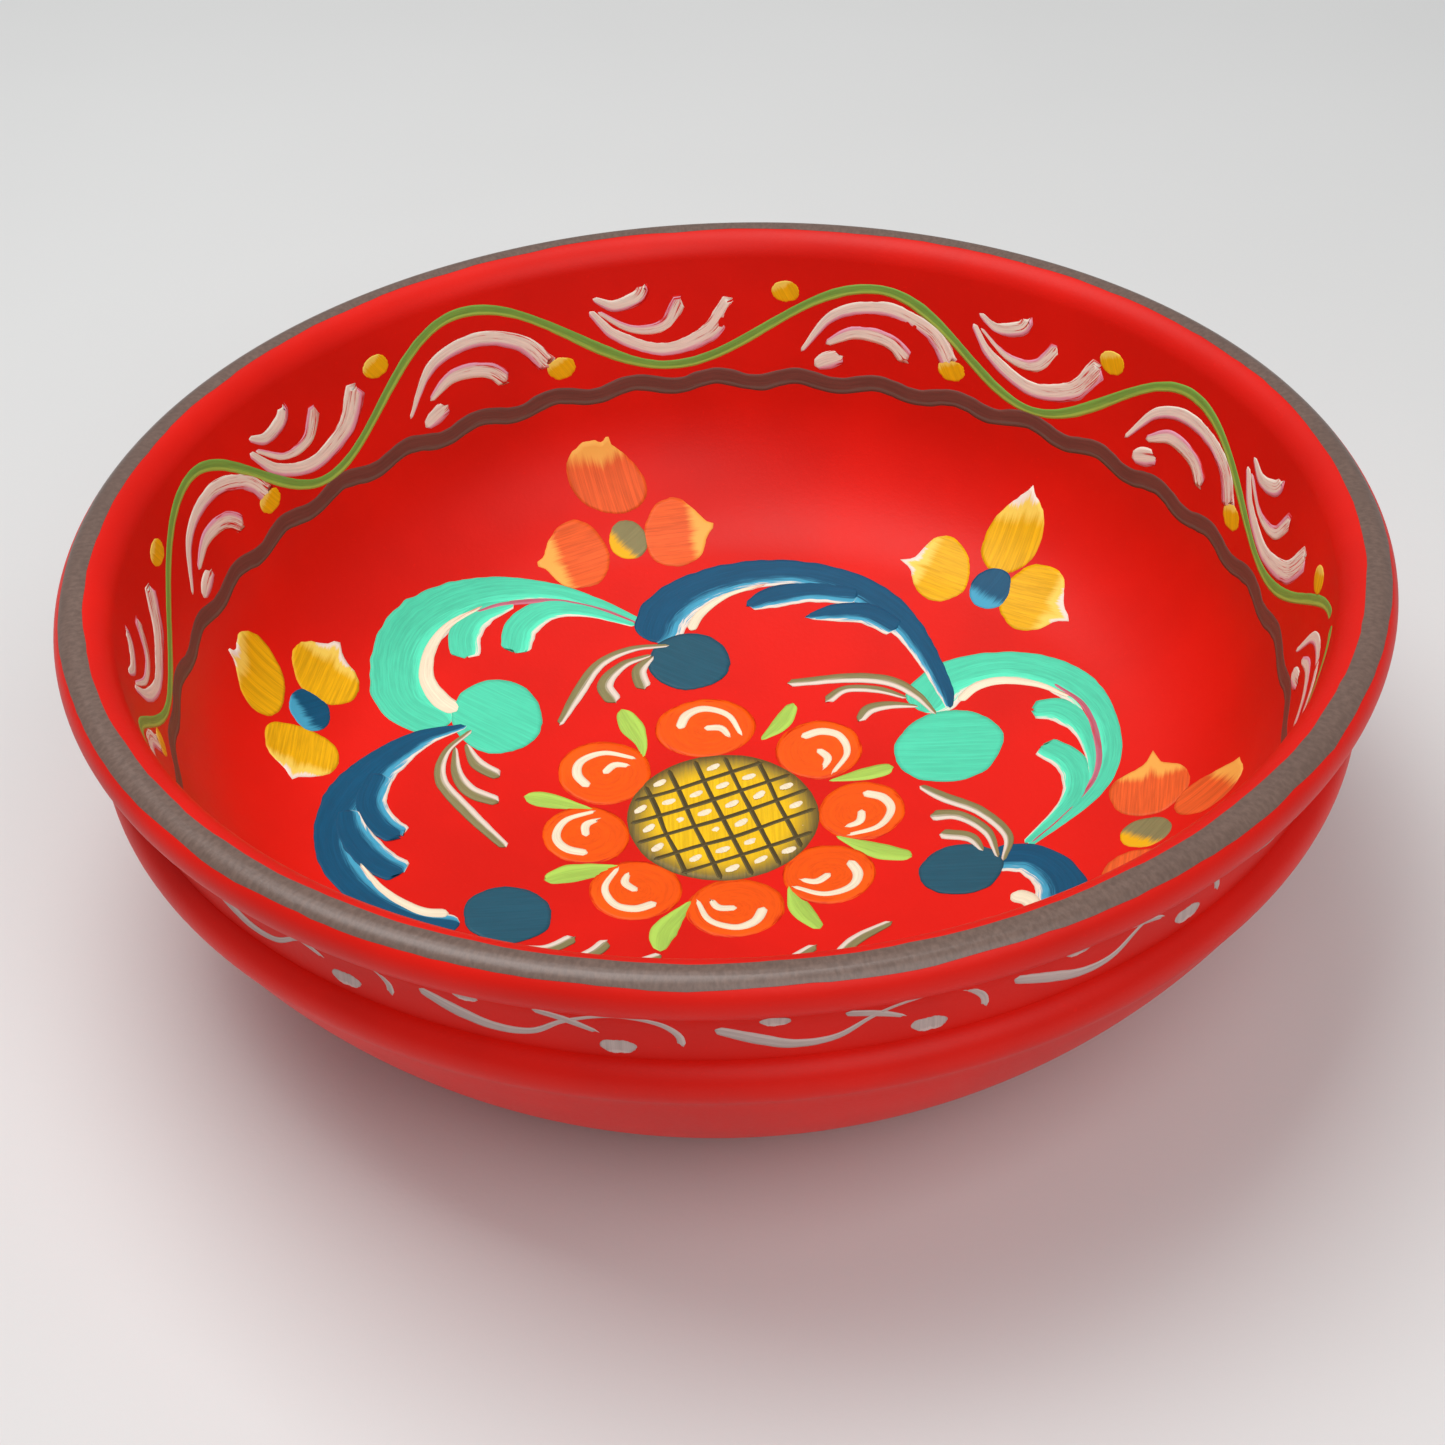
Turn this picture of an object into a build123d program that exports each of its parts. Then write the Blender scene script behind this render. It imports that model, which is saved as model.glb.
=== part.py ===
from build123d import *
import math
import os

# A turned wooden bowl with a red ground coat and hand-painted scrollwork, in millimetres.
# The bowl stands on z = 0 and its turning axis is the Z axis. Angles run anticlockwise
# from +X, seen from above. Each paint layer is a thin skin that lies on the layer below.

# ---- the turned wood ----
rim_radius = 140.0            # outermost reach of the lip
height = 91.7                 # from the foot to the crest of the lip
base_radius = 84.0            # outer edge of the foot
floor_height = 8.8            # inside of the floor, at the middle, above the table
wall_slope = 78.0             # inner wall, degrees from level
wall_run = 37.0               # straight inner wall, measured up its slope
shoulder_radius = 40.0        # inner bend between the floor and the wall
shoulder_room = 0.86          # most of the room above the floor that this bend may take
lip_inner_radius = 7.0        # roll of the lip towards the inside
lip_outer_radius = 4.6        # roll of the lip towards the outside
lip_underside = 60.0          # degrees that the outer roll turns in below the level
cove_radius = 12.4            # hollow below the lip, which sets how deep the cove lies
bead_radius = 5.0             # round bead below the cove
bead_drop = 30.4              # bead's centre below the crest
bead_inset = 9.7              # bead's centre inside the rim
bead_end = 50.0               # degrees below the level where the bead meets the body
body_radius = 130.0           # outer curve of the body
foot_edge = 1.2               # bevel at the foot
foot_ring = 18.0              # width of the ring that the bowl stands on
foot_recess = 1.2             # depth of the hollow inside that ring

# ---- the paint ----
coat = 0.3                    # ground coat
paint = 0.3                   # one layer of brushwork
bare_foot = 3.0               # wood left unpainted above the table
band_inner_angle = 15.0       # brown rim band: reach past the crest, degrees of roll
band_outer_angle = 42.0
rim_sectors = 24              # equal faces that the thin band is divided into

# ---- the painted design, drawn for a floor with this radius and scaled to the real one ----
drawn_radius = 120.9

wavy_line_height = 4.9        # middle of the brown line, up the wall's slope
wavy_line_half_width = 2.2
ripple_count = 36
ripple_height = 1.0
vine_half_width = 1.25
vine_ends = (-13.6, 344.2)    # angles where the vine starts and stops
vine_bends = [                # (angle, height up the wall) of each crest and trough
    (-16, 33.6), (7.5, 10.7), (28.5, 31.7), (50, 8.7), (70.5, 30.7), (95, 9.7),
    (120, 34.0), (141.5, 8.7), (161, 33.2), (184.5, 8.2), (206, 32.5), (228, 9.0),
    (252, 32.0), (276, 9.2), (300, 32.8), (322, 9.0), (344, 33.6), (367.5, 10.7)]
crest_angles = [-16, 28.5, 70.5, 120, 161, 206, 252, 300]
trough_angles = [7.5, 50, 95, 141.5, 184.5, 228, 276, 322]

# leaf strokes beside the vine: (angle from the bend, height up the wall, half width)
crest_leaves = [
    [(8.5, 12.5, 0.5), (4.5, 23.0, 1.4), (-1.5, 26.0, 1.9), (-7.0, 22.0, 2.1), (-10.0, 14.5, 2.6)],
    [(5.5, 15.0, 0.8), (2.0, 18.8, 1.8), (-2.2, 17.6, 2.0), (-4.5, 13.4, 2.3)],
    [(6.8, 8.8, 1.2), (5.2, 10.6, 2.4), (3.4, 12.0, 1.6)]]
trough_leaves = [
    [(9.2, 26.5, 0.8), (6.2, 19.0, 1.5), (1.0, 14.2, 1.9), (-4.6, 17.6, 2.6), (-7.6, 26.0, 3.1)],
    [(8.2, 26.0, 0.5), (4.4, 20.4, 1.0), (0.6, 20.6, 1.6), (-1.6, 27.0, 2.0)],
    [(8.6, 29.6, 0.6), (6.2, 27.0, 1.5), (3.4, 28.4, 1.9), (2.4, 31.6, 1.4)]]
dab_size = (1.75, 2.8)        # half width in degrees, half height
dab_offsets = [(-10.6, 13.2), (10.8, 28.6)]      # from a crest: (angle, height up the wall)

# scrolls: strokes as (x, y, half width); each is a main stroke and its two lobes
teal_left = [
    [(-68, 30, 6.5), (-78, 37, 8), (-80.5, 50, 7), (-77.5, 61, 6.5), (-69, 71, 5.4),
     (-57, 77.5, 4.2), (-44, 78.6, 3), (-32, 74.6, 2.1), (-21, 69, 0.8)],
    [(-54, 74, 1.5), (-62, 69, 3.6), (-65.5, 62, 4), (-65, 54, 3.8)],
    [(-23, 68, 0.7), (-35, 72.5, 2), (-45, 72.5, 3.5), (-51.5, 66, 4.2), (-53, 57.3, 3.7)]]
teal_right = [
    [(47, 31, 7), (54, 40.5, 6.6), (66, 42.8, 5), (77, 38, 5), (84.6, 29, 4.6), (88.6, 17, 3),
     (87.8, 4, 2.8), (81.6, -7.5, 2.5), (66, -21.5, 0.8)],
    [(73, 25.5, 3), (79, 23.6, 3.8), (83.5, 16, 2.8), (84.4, 6, 1.8), (83, -3, 1)],
    [(73.5, 12.5, 3.3), (78.6, 6, 3.6), (79.6, -2, 3.3), (76, -10, 2.2), (65.5, -20.4, 0.8)]]
teal_front = [
    [(-10, -64, 6), (-14, -74, 6.6), (-24, -81, 6), (-36, -81, 4.6), (-46, -74, 3.4),
     (-52, -62, 2), (-53, -47, 0.8)],
    [(-22, -69, 2.8), (-27, -74, 3), (-33, -78.5, 1.6)],
    [(-33, -65, 2.8), (-37, -70, 3.2), (-43, -73, 2)]]
blue_back = [
    [(-18, 62, 6), (-15, 72, 6.8), (-7, 79.6, 6), (5, 84, 5), (18, 84, 4.2), (30, 79, 4.5),
     (39, 71, 4.8), (45.5, 61, 3.8), (50, 49, 2.8), (53, 37, 2), (53.5, 31, 0.8)],
    [(6, 73.5, 1.6), (12, 76, 3.6), (22, 77, 3.5), (34, 74, 3)],
    [(21, 68.5, 0.9), (28, 69, 3), (36, 67.5, 3.5), (43, 61, 3)]]
blue_left = [
    [(-64, 30, 0.8), (-74, 24, 2.8), (-82, 14, 4.6), (-88, 2, 5.6), (-91, -11, 4.4),
     (-88, -24, 4.6), (-80, -34, 4.2), (-70, -39.5, 3.6), (-61, -40.3, 3)],
    [(-82.5, 10, 3), (-84, 0, 3.8), (-81, -7, 4), (-76.3, -11, 3.9)],
    [(-88.5, -4, 2.5), (-86.5, -12, 4), (-81, -20, 4.6), (-74.8, -24, 4.2)]]
blue_right = [
    [(57, -24, 4.6), (66, -26.5, 5), (71, -36, 5.6), (69.5, -48, 6.2), (62, -60, 6.2),
     (50, -69.5, 5.4), (36, -75, 4.2), (22, -76, 3), (10, -70, 1.8), (3.5, -61, 0.8)],
    [(52, -53, 3.4), (55, -59, 3.8), (52, -66, 3)],
    [(39, -61, 3.2), (41, -66.5, 3.4), (36, -71.5, 2.6)]]

# round scroll roots: (x, y, x radius, y radius)
teal_roots = [(-56.5, 34, 11, 13), (52, 17.6, 12.9, 12.6), (-1.5, -61, 10.5, 9.5)]
blue_roots = [(-9.5, 55, 10.4, 9.8), (50.5, -26.4, 9.4, 8.8), (-50.8, -36, 9.6, 10)]

tendrils = [
    [(-14.5, 60.8, 0.5), (-24, 59.5, 1.0), (-32, 54, 1.4), (-37, 44, 1.6), (-41.5, 32.5, 0.8)],
    [(-19, 57.5, 0.5), (-26, 54, 1.2), (-30.5, 47, 2.0), (-28, 41, 2.2)],
    [(-18.5, 57, 0.5), (-22, 52, 1.8), (-20.8, 45.5, 2.0)],
    [(-62.5, 28.5, 0.5), (-68, 20, 0.9), (-68.5, 10, 1.5), (-62, 0, 1.8), (-52.5, -12, 1.2)],
    [(-66, 22, 0.5), (-65, 13, 1.4), (-61.5, 7, 2.0), (-55, 4, 1.8)],
    [(-63.5, 23.5, 0.6), (-60.5, 17, 1.8), (-55, 13, 1.8)],
    [(50, 29.5, 0.5), (46, 37, 1.2), (40, 43, 1.6), (30, 45.8, 1.6), (15, 45.8, 1.2)],
    [(43.5, 36.5, 0.5), (37, 40.5, 1.1), (29, 42.0, 1.2), (24, 38.5, 1.5)],
    [(46, 33, 0.4), (40, 34.6, 1.2), (34.5, 34.2, 1.7), (31.5, 30.5, 1.2)],
    [(60, -25.5, 0.5), (62, -17, 1.2), (57, -7, 1.4), (49, 0, 1.5), (44, 5, 0.8)],
    [(59, -24, 0.5), (57.6, -14.5, 1.2), (52, -7.4, 1.5), (45.5, -6, 1.9)],
    [(56, -21, 0.5), (53.5, -15.5, 1.5), (47, -12.8, 1.7)],
    [(-50, -47, 0.5), (-42, -47.6, 1.4), (-36, -43.2, 1.6)],
    [(-47, -49, 0.5), (-37, -51, 1.3), (-32, -48.6, 1.6), (-28.8, -44.4, 1.6)],
    [(-48, -51, 0.5), (-36, -56, 1.2), (-26, -54, 1.5), (-17, -49.2, 1.2)],
    [(6, -62, 0.5), (17, -58, 1.2), (25, -47.6, 1.6), (33.5, -42, 0.9)],
    [(7, -56, 0.5), (12, -52, 1.4), (16.5, -48.2, 1.2)]]

# tulips: (middle x, y, x radius, y radius), then petals as (x, y, x radius, y radius, tip x, tip y)
orange_tulips = [
    ((-24.5, 96, 5, 5.4), [(-37.5, 90, 8.3, 9.6, -49.5, 86.5), (-29.5, 108.3, 10.4, 5.8, -29, 115.6),
                           (-12.2, 97.6, 8.2, 9.4, -1, 101)]),
    ((91.5, -25, 5.6, 5), [(94.6, -10.8, 8.8, 8.6, 98, 3), (105.6, -20.4, 7.2, 5.8, 113, -17),
                           (88, -38.5, 8, 8.2, 84, -50)]),
    ((-65, -72, 5, 5), [(-56, -82.5, 8.4, 8, -44, -91), (-74, -79.5, 8.2, 6.4, -82, -87),
                        (-72.6, -61.5, 7.6, 7.8, -82.5, -51)])]
yellow_tulips = [
    ((67.5, 69, 5.4, 6.2), [(55.8, 78, 7.4, 9.6, 45.5, 84.6), (74, 79.6, 7.8, 7.6, 79.6, 86.8),
                            (77, 62.2, 8, 9.4, 86, 51.6)]),
    ((-100, 26.4, 4.5, 6.1), [(-100.4, 12.8, 8.1, 8, -102, 1.6), (-110.4, 27.2, 4.9, 9.6, -117, 26),
                              (-97.4, 38.4, 7.4, 8.4, -95, 51.4)]),
    ((27, -94, 5, 5), [(41, -92.5, 8, 7.8, 53, -91), (29.5, -105, 7.6, 5.8, 31.5, -112.6),
                       (15.5, -95.5, 7.6, 8, 2.5, -99)])]

# middle flower
flower_centre = (-2.5, -0.7)
disc_radius = 22.4
flower_angles = [96, 43.2, -1.4, -43.5, -86.5, -128.6, -169.6, -210.8]
petal_reach = 32.4            # middle of a petal from the middle of the flower
petal_radii = [(10.2, 12.4), (10.4, 10.4), (10.0, 10.4), (10.6, 10.4), (10.4, 11.0),
               (10.6, 10.4), (10.0, 10.2), (11.2, 11.2)]   # (outward, sideways)
petal_shine = [               # on a petal: (outward, sideways, half width)
    [(0.6, 6.4, 1.2), (5.2, 4.0, 1.2), (6.8, -0.6, 1.0), (3.6, -6.0, 0.8), (-3.6, -8.2, 0.5)],
    [(0.0, 0.4, 0.9), (-0.6, -3.6, 1.0), (-3.8, -5.2, 0.6)]]
flower_leaves = [
    [(-26.4, 38.4, 1.5), (-24, 32.5, 3.0), (-21.6, 26.5, 1.5), (-21.2, 21.5, 0.4)],
    [(15.8, 38.6, 1.4), (12.6, 32, 2.3), (7.5, 26.6, 0.5)],
    [(38.4, 12.8, 1.8), (32, 11.6, 2.2), (23, 10.3, 0.3)],
    [(40, -19.4, 1.7), (32.4, -16, 2.6), (23.5, -9.6, 0.4)],
    [(18, -42, 1.2), (14, -34.5, 2.5), (11.8, -26, 0.4)],
    [(-17.4, -47.6, 1.3), (-16.2, -40, 3.0), (-10.4, -30, 0.4)],
    [(-43.2, -23, 1.7), (-36.6, -20, 3.1), (-25, -17.4, 0.6)],
    [(-49, 6.4, 1.9), (-43, 5.4, 2.6), (-33, 2.9, 0.3)]]
lattice_directions = (-73.5, 22.5)               # degrees of its two sets of lines
lattice_pitch = 7.0
lattice_lines = 5                                # in each set
lattice_half_width = 0.55
seed_radii = (1.3, 0.6)

# cove ornament: (angle from the start of a repeat, height below the crest, half width)
cove_repeats = 15
cove_start = -116.0
cove_scroll = [(0, 17.3, 1.1), (3.3, 20.3, 1.3), (6.3, 22.0, 1.0), (9.3, 21.3, 0.7),
               (11.8, 17.8, 0.5), (14.3, 14.9, 0.5), (16.8, 13.7, 0.6), (19.3, 15.5, 0.7),
               (20.9, 18.8, 0.7), (21.2, 21.6, 0.8)]
cove_dash = [(9.8, 14.8, 1.1), (12.4, 16.9, 0.9), (14.6, 19.2, 0.4)]
cove_dots = [(4.6, 15.3, 1.2, 1.6), (16.6, 22.3, 1.5, 1.6)]  # last two: half angle, half height

# ---- worked out from the sizes above ----
crest = (rim_radius - lip_outer_radius, height)
lip_inner_centre = (crest[0], height - lip_inner_radius)
lip_outer_centre = (crest[0], height - lip_outer_radius)
bead_centre = (rim_radius - bead_inset, height - bead_drop)


def on_circle(centre, radius, angle):
    """The point of a circle at an angle in degrees."""
    turn = math.radians(angle)
    return (centre[0] + radius * math.cos(turn), centre[1] + radius * math.sin(turn))


wall_top = on_circle(lip_inner_centre, lip_inner_radius, 90 + wall_slope)
wall_foot = (wall_top[0] - wall_run * math.cos(math.radians(wall_slope)),
             wall_top[1] - wall_run * math.sin(math.radians(wall_slope)))


def largest_shoulder():
    """The bend radius at which the floor would be flat."""
    rise = wall_foot[1] - floor_height
    return rise / (1 - math.cos(math.radians(wall_slope)))


shoulder = min(shoulder_radius, shoulder_room * largest_shoulder())
shoulder_centre = on_circle(wall_foot, shoulder, 90 + wall_slope)
centre_rise = shoulder_centre[1] - floor_height
floor_radius = ((shoulder_centre[0] ** 2 + centre_rise ** 2 - shoulder ** 2)
                / (2 * (centre_rise - shoulder)))
floor_centre = (0.0, floor_height + floor_radius)
floor_angle = math.degrees(math.asin(shoulder_centre[0] / (floor_radius - shoulder)))
cove_centre = on_circle(lip_outer_centre, lip_outer_radius + cove_radius, -lip_underside)
cove_wall = cove_centre[0] - cove_radius
design_scale = wall_foot[0] / drawn_radius
body_top = on_circle(bead_centre, bead_radius, -bead_end)


def circle_through(start, end, radius):
    """Centre of the circle through two points of the body, on the axis side of them."""
    run = (end[0] - start[0], end[1] - start[1])
    chord = math.hypot(*run)
    reach = math.sqrt(radius ** 2 - chord ** 2 / 4) / chord
    return ((start[0] + end[0]) / 2 + reach * run[1], (start[1] + end[1]) / 2 - reach * run[0])


def angle_at(centre, point):
    """Angle of a point seen from a centre, in degrees."""
    return math.degrees(math.atan2(point[1] - centre[1], point[0] - centre[0]))


def circles_meet(centre_a, radius_a, centre_b, radius_b):
    """The outer of the two points where two circles cross."""
    run = (centre_b[0] - centre_a[0], centre_b[1] - centre_a[1])
    gap = math.hypot(*run)
    along = (gap ** 2 + radius_a ** 2 - radius_b ** 2) / (2 * gap)
    across = math.sqrt(radius_a ** 2 - along ** 2)
    foot = (centre_a[0] + along * run[0] / gap, centre_a[1] + along * run[1] / gap)
    sides = [(foot[0] + side * across * run[1] / gap, foot[1] - side * across * run[0] / gap)
             for side in (1, -1)]
    return max(sides)


body_centre = circle_through(body_top, (base_radius + foot_edge, foot_edge), body_radius)


def inside_edges(lift):
    """The inside from the axis to the band's inner edge, raised off the wood by lift."""
    floor = CenterArc(floor_centre, floor_radius - lift, 270, floor_angle)
    bend = CenterArc(shoulder_centre, shoulder - lift, 270 + floor_angle, wall_slope - floor_angle)
    roll = CenterArc(lip_inner_centre, lip_inner_radius + lift, 90 + wall_slope,
                     band_inner_angle - wall_slope)
    return [floor, bend, Line(bend @ 1, roll @ 0), roll]


def band_edges(lift):
    """The crest of the lip, between the two edges of the rim band."""
    inner = CenterArc(lip_inner_centre, lip_inner_radius + lift, 90 + band_inner_angle,
                      -band_inner_angle)
    outer = CenterArc(lip_outer_centre, lip_outer_radius + lift, 90, -band_outer_angle)
    return [inner, outer]


def outside_edges(lift, low):
    """The outside from the band's outer edge down to the height low."""
    lip_stop = -lip_underside
    roll = CenterArc(lip_outer_centre, lip_outer_radius + lift, 90 - band_outer_angle,
                     lip_stop - 90 + band_outer_angle)
    hollow = CenterArc(cove_centre, cove_radius - lift, 180 - lip_underside, lip_underside)
    wall = cove_wall + lift
    bead_reach = bead_radius + lift
    bead_top = (wall, bead_centre[1] + math.sqrt(bead_reach ** 2 - (wall - bead_centre[0]) ** 2))
    body_reach = body_radius + lift
    joint = circles_meet(bead_centre, bead_reach, body_centre, body_reach)
    top_angle = angle_at(bead_centre, bead_top)
    bead = CenterArc(bead_centre, bead_reach, top_angle, angle_at(bead_centre, joint) - top_angle)
    drop = low - body_centre[1]
    end = (body_centre[0] + math.sqrt(body_reach ** 2 - drop ** 2), low)
    first = angle_at(body_centre, joint)
    body = CenterArc(body_centre, body_reach, first, angle_at(body_centre, end) - first)
    return [roll, hollow, Line(hollow @ 1, bead_top), bead, body]


def spun(edges):
    """Turn a closed outline, drawn as radius and height, about the axis."""
    return revolve(Plane.XZ * make_face(edges), Axis.Z)


def layer_outline(make_edges, low, high, *rest):
    """Closed outline of a thin layer between two heights above the wood."""
    under = make_edges(low, *rest)
    over = make_edges(high, *rest)
    return under + over + [Line(under[-1] @ 1, over[-1] @ 1), Line(under[0] @ 0, over[0] @ 0)]


def skin(make_edges, low, high, *rest):
    """A thin turned layer between two heights above the wood."""
    return spun(layer_outline(make_edges, low, high, *rest))


def painted_rim():
    """The band on the crest of the lip, as like sectors so that it is even all round."""
    outline = make_face(layer_outline(band_edges, 0, coat))
    sector = revolve(Plane.XZ * outline, Axis.Z, 360 / rim_sectors)
    sides = [face for face in sector.faces() if face.geom_type != GeomType.PLANE]
    turns = [360 * i / rim_sectors for i in range(rim_sectors)]
    return Solid(Shell([Rot(0, 0, turn) * face for turn in turns for face in sides]))


def wooden_bowl():
    """The turned bowl: floor, wall, lip, cove, bead, body and a foot ring."""
    outline = inside_edges(0) + band_edges(0) + outside_edges(0, foot_edge)
    recess = base_radius - foot_ring
    foot = [outline[-1] @ 1, (base_radius, 0), (recess, 0), (recess - foot_recess, foot_recess),
            (0, foot_recess), outline[0] @ 0]
    return spun(outline + [Polyline(*foot)])


def lean(points, i):
    """Direction of a stroke's centre line at one of its points."""
    last = len(points) - 1
    if i == 0:
        pairs = [(4, 1), (-3, 0), (-1, 2)]
    elif i == last:
        pairs = [(-4, last - 1), (3, last), (1, last - 2)]
    else:
        pairs = [(1, i + 1), (-1, i - 1)]
    run = [sum(share * points[j][axis] for share, j in pairs) for axis in (0, 1)]
    size = math.hypot(*run)
    return (run[0] / size, run[1] / size)


def stroke(points):
    """Flat outline of a brush stroke through (x, y, half width) points."""
    sides = []
    for side in (1, -1):
        rail = []
        for i, (x, y, half) in enumerate(points):
            run = lean(points, i)
            rail.append((x - side * half * run[1], y + side * half * run[0]))
        sides.append(rail)
    left, right = sides
    edges = [Spline(*left), Line(left[-1], right[-1]), Spline(*right), Line(right[0], left[0])]
    return make_face(edges)


def oval(x, y, x_radius, y_radius):
    """A flat oval blob."""
    return Pos(x, y) * Ellipse(x_radius, y_radius)


def pointed(x, y, x_radius, y_radius, tip_x, tip_y):
    """A round petal drawn out to a thin tip."""
    reach = 0.7
    start_half = 0.45 * min(x_radius, y_radius)
    middle = (x + reach * (tip_x - x), y + reach * (tip_y - y))
    tail = [(x, y, start_half * 1.6), (*middle, start_half * 0.55), (tip_x, tip_y, 0.3)]
    return oval(x, y, x_radius, y_radius) + stroke(tail)


def union(faces):
    """All the faces as one sketch."""
    return Sketch() + list(faces)


def laid_inside(sketch, layer):
    """A design drawn in plan, laid on the inside as part of a paint layer."""
    scaled = scale(sketch, by=(design_scale, design_scale, 1)) if design_scale != 1 else sketch
    return extrude(scaled, amount=height) & layer


def facing(angle):
    """A plane through the axis that faces outwards at an angle: x runs round, y runs up."""
    turn = math.radians(angle)
    return Plane(origin=(0, 0, 0), x_dir=(-math.sin(turn), math.cos(turn), 0),
                 z_dir=(math.cos(turn), math.sin(turn), 0))


def wall_point(angle, climb):
    """Place on the inner wall as (across a facing plane, height), climb up its slope."""
    slope = math.radians(wall_slope)
    reach = wall_foot[0] + climb * math.cos(slope)
    return (reach * math.sin(math.radians(angle)), wall_foot[1] + climb * math.sin(slope))


def laid_on_wall(points, bend, layer):
    """A leaf stroke beside the vine, laid on the inner wall."""
    flat = [(*wall_point(angle, climb), half) for angle, climb, half in points]
    return extrude(facing(bend) * stroke(flat), amount=rim_radius) & layer


def wave(bends, angle):
    """Height of a hand-drawn wave between its crests and troughs."""
    for (a, low), (b, high) in zip(bends, bends[1:]):
        if a <= angle <= b:
            share = (1 - math.cos(math.pi * (angle - a) / (b - a))) / 2
            return low + share * (high - low)
    raise ValueError("the wave is not drawn at this angle")


def wall_ribbon(angles, middle, half, low, high, closed):
    """A thin ribbon that runs round the straight inner wall, between two paint heights."""
    slope = math.radians(wall_slope)
    loops = []
    for side, lift in ((-1, low), (1, low), (1, high), (-1, high)):
        points = []
        for angle in angles:
            climb = middle(angle) + side * half(angle)
            reach = wall_foot[0] + climb * math.cos(slope) - lift * math.sin(slope)
            level = wall_foot[1] + climb * math.sin(slope) + lift * math.cos(slope)
            turn = math.radians(angle)
            points.append((reach * math.cos(turn), reach * math.sin(turn), level))
        loops.append(Spline(*points, periodic=closed))
    faces = [Face.make_surface_from_curves(loops[i].edge(), loops[(i + 1) % 4].edge())
             for i in range(4)]
    if not closed:
        for end in (0, 1):
            corners = [loop @ end for loop in loops]
            faces.append(Face(Wire.make_polygon(corners, close=True)))
    return Solid(Shell(faces))


def stretched(middle, angle):
    """How much taller a sloping ribbon is than it is wide, at an angle."""
    step = 0.5
    climb = (middle(angle + step) - middle(angle - step)) / (2 * step)
    return math.hypot(1, climb / (wall_foot[0] * math.radians(1)))


def border_vine(low, high):
    """The green vine that winds round the wall, with a gap where its ends meet."""
    start, stop = vine_ends
    count = 180
    angles = [start + (stop - start) * i / count for i in range(count + 1)]

    def middle(angle):
        return wave(vine_bends, max(angle, vine_bends[0][0]))

    def half(angle):
        return vine_half_width * stretched(middle, angle)

    return wall_ribbon(angles, middle, half, low, high, False)


def wavy_line(low, high):
    """The rippling brown line that closes the painted border."""
    count = 216
    angles = [360 * i / count for i in range(count)]

    def middle(angle):
        return wavy_line_height + ripple_height * math.cos(math.radians(ripple_count * angle))

    return wall_ribbon(angles, middle, lambda angle: wavy_line_half_width, low, high, True)


def dab(angle, climb, layer):
    """A yellow bud beside the vine."""
    half_angle, half_height = dab_size
    across = (wall_foot[0]) * math.radians(half_angle)
    x, y = wall_point(0, climb)
    blob = Pos(x, y) * Ellipse(across, half_height)
    return extrude(facing(angle) * blob, amount=rim_radius) & layer


def cove_stroke(points, start, layer):
    """A stroke of the cove ornament, its angles counted from the start of its repeat."""
    middle = (points[0][0] + points[-1][0]) / 2
    flat = [(cove_wall * math.sin(math.radians(angle - middle)), height - drop, half)
            for angle, drop, half in points]
    return extrude(facing(start + middle) * stroke(flat), amount=rim_radius + coat) & layer


def cove_dot(dot, start, layer):
    """A round dot of the cove ornament."""
    angle, drop, half_angle, half_height = dot
    blob = Pos(0, height - drop) * Ellipse(cove_wall * math.radians(half_angle), half_height)
    return extrude(facing(start + angle) * blob, amount=rim_radius + coat) & layer


def ring_place(index, points):
    """Points given on a petal, (outward, sideways, half width), moved to their place."""
    turn = math.radians(flower_angles[index])
    moved = []
    for out, side, half in points:
        reach = petal_reach + out
        moved.append((flower_centre[0] + reach * math.cos(turn) - side * math.sin(turn),
                      flower_centre[1] + reach * math.sin(turn) + side * math.cos(turn), half))
    return moved


def petal(index):
    """One round petal of the middle flower."""
    (x, y, _), = ring_place(index, [(0, 0, 0)])
    outward, sideways = petal_radii[index]
    return Pos(x, y) * Rot(0, 0, flower_angles[index]) * Ellipse(outward, sideways)


def lattice():
    """Two sets of crossing lines over the flower's disc."""
    bars = []
    for direction in lattice_directions:
        for i in range(lattice_lines):
            shift = (i - (lattice_lines - 1) / 2) * lattice_pitch
            bar = Pos(0, shift) * Rectangle(2 * disc_radius, 2 * lattice_half_width)
            bars.append(Pos(*flower_centre) * Rot(0, 0, direction) * bar)
    return union(bars) & (Pos(*flower_centre) * Circle(disc_radius - 0.5))


def seeds():
    """A light seed in each cell of the lattice."""
    steep, shallow = (math.radians(angle) for angle in lattice_directions)
    crossing = math.sin(shallow - steep)
    marks = []
    for i in range(-lattice_lines // 2 + 1, lattice_lines // 2 + 1):
        for j in range(-lattice_lines // 2 + 1, lattice_lines // 2 + 1):
            a = (i - 0.5) * lattice_pitch / crossing
            b = (j - 0.5) * lattice_pitch / crossing
            x = a * math.cos(steep) + b * math.cos(shallow)
            y = a * math.sin(steep) + b * math.sin(shallow)
            if math.hypot(x, y) < disc_radius - 2 * seed_radii[0]:
                marks.append(Pos(flower_centre[0] + x, flower_centre[1] + y)
                             * Rot(0, 0, 35) * Ellipse(*seed_radii))
    return union(marks)


def save(name, shape):
    """Write one node as a STEP file."""
    export_step(Compound(label=name, children=list(shape.solids())), f"parts/{name}.step")


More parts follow.
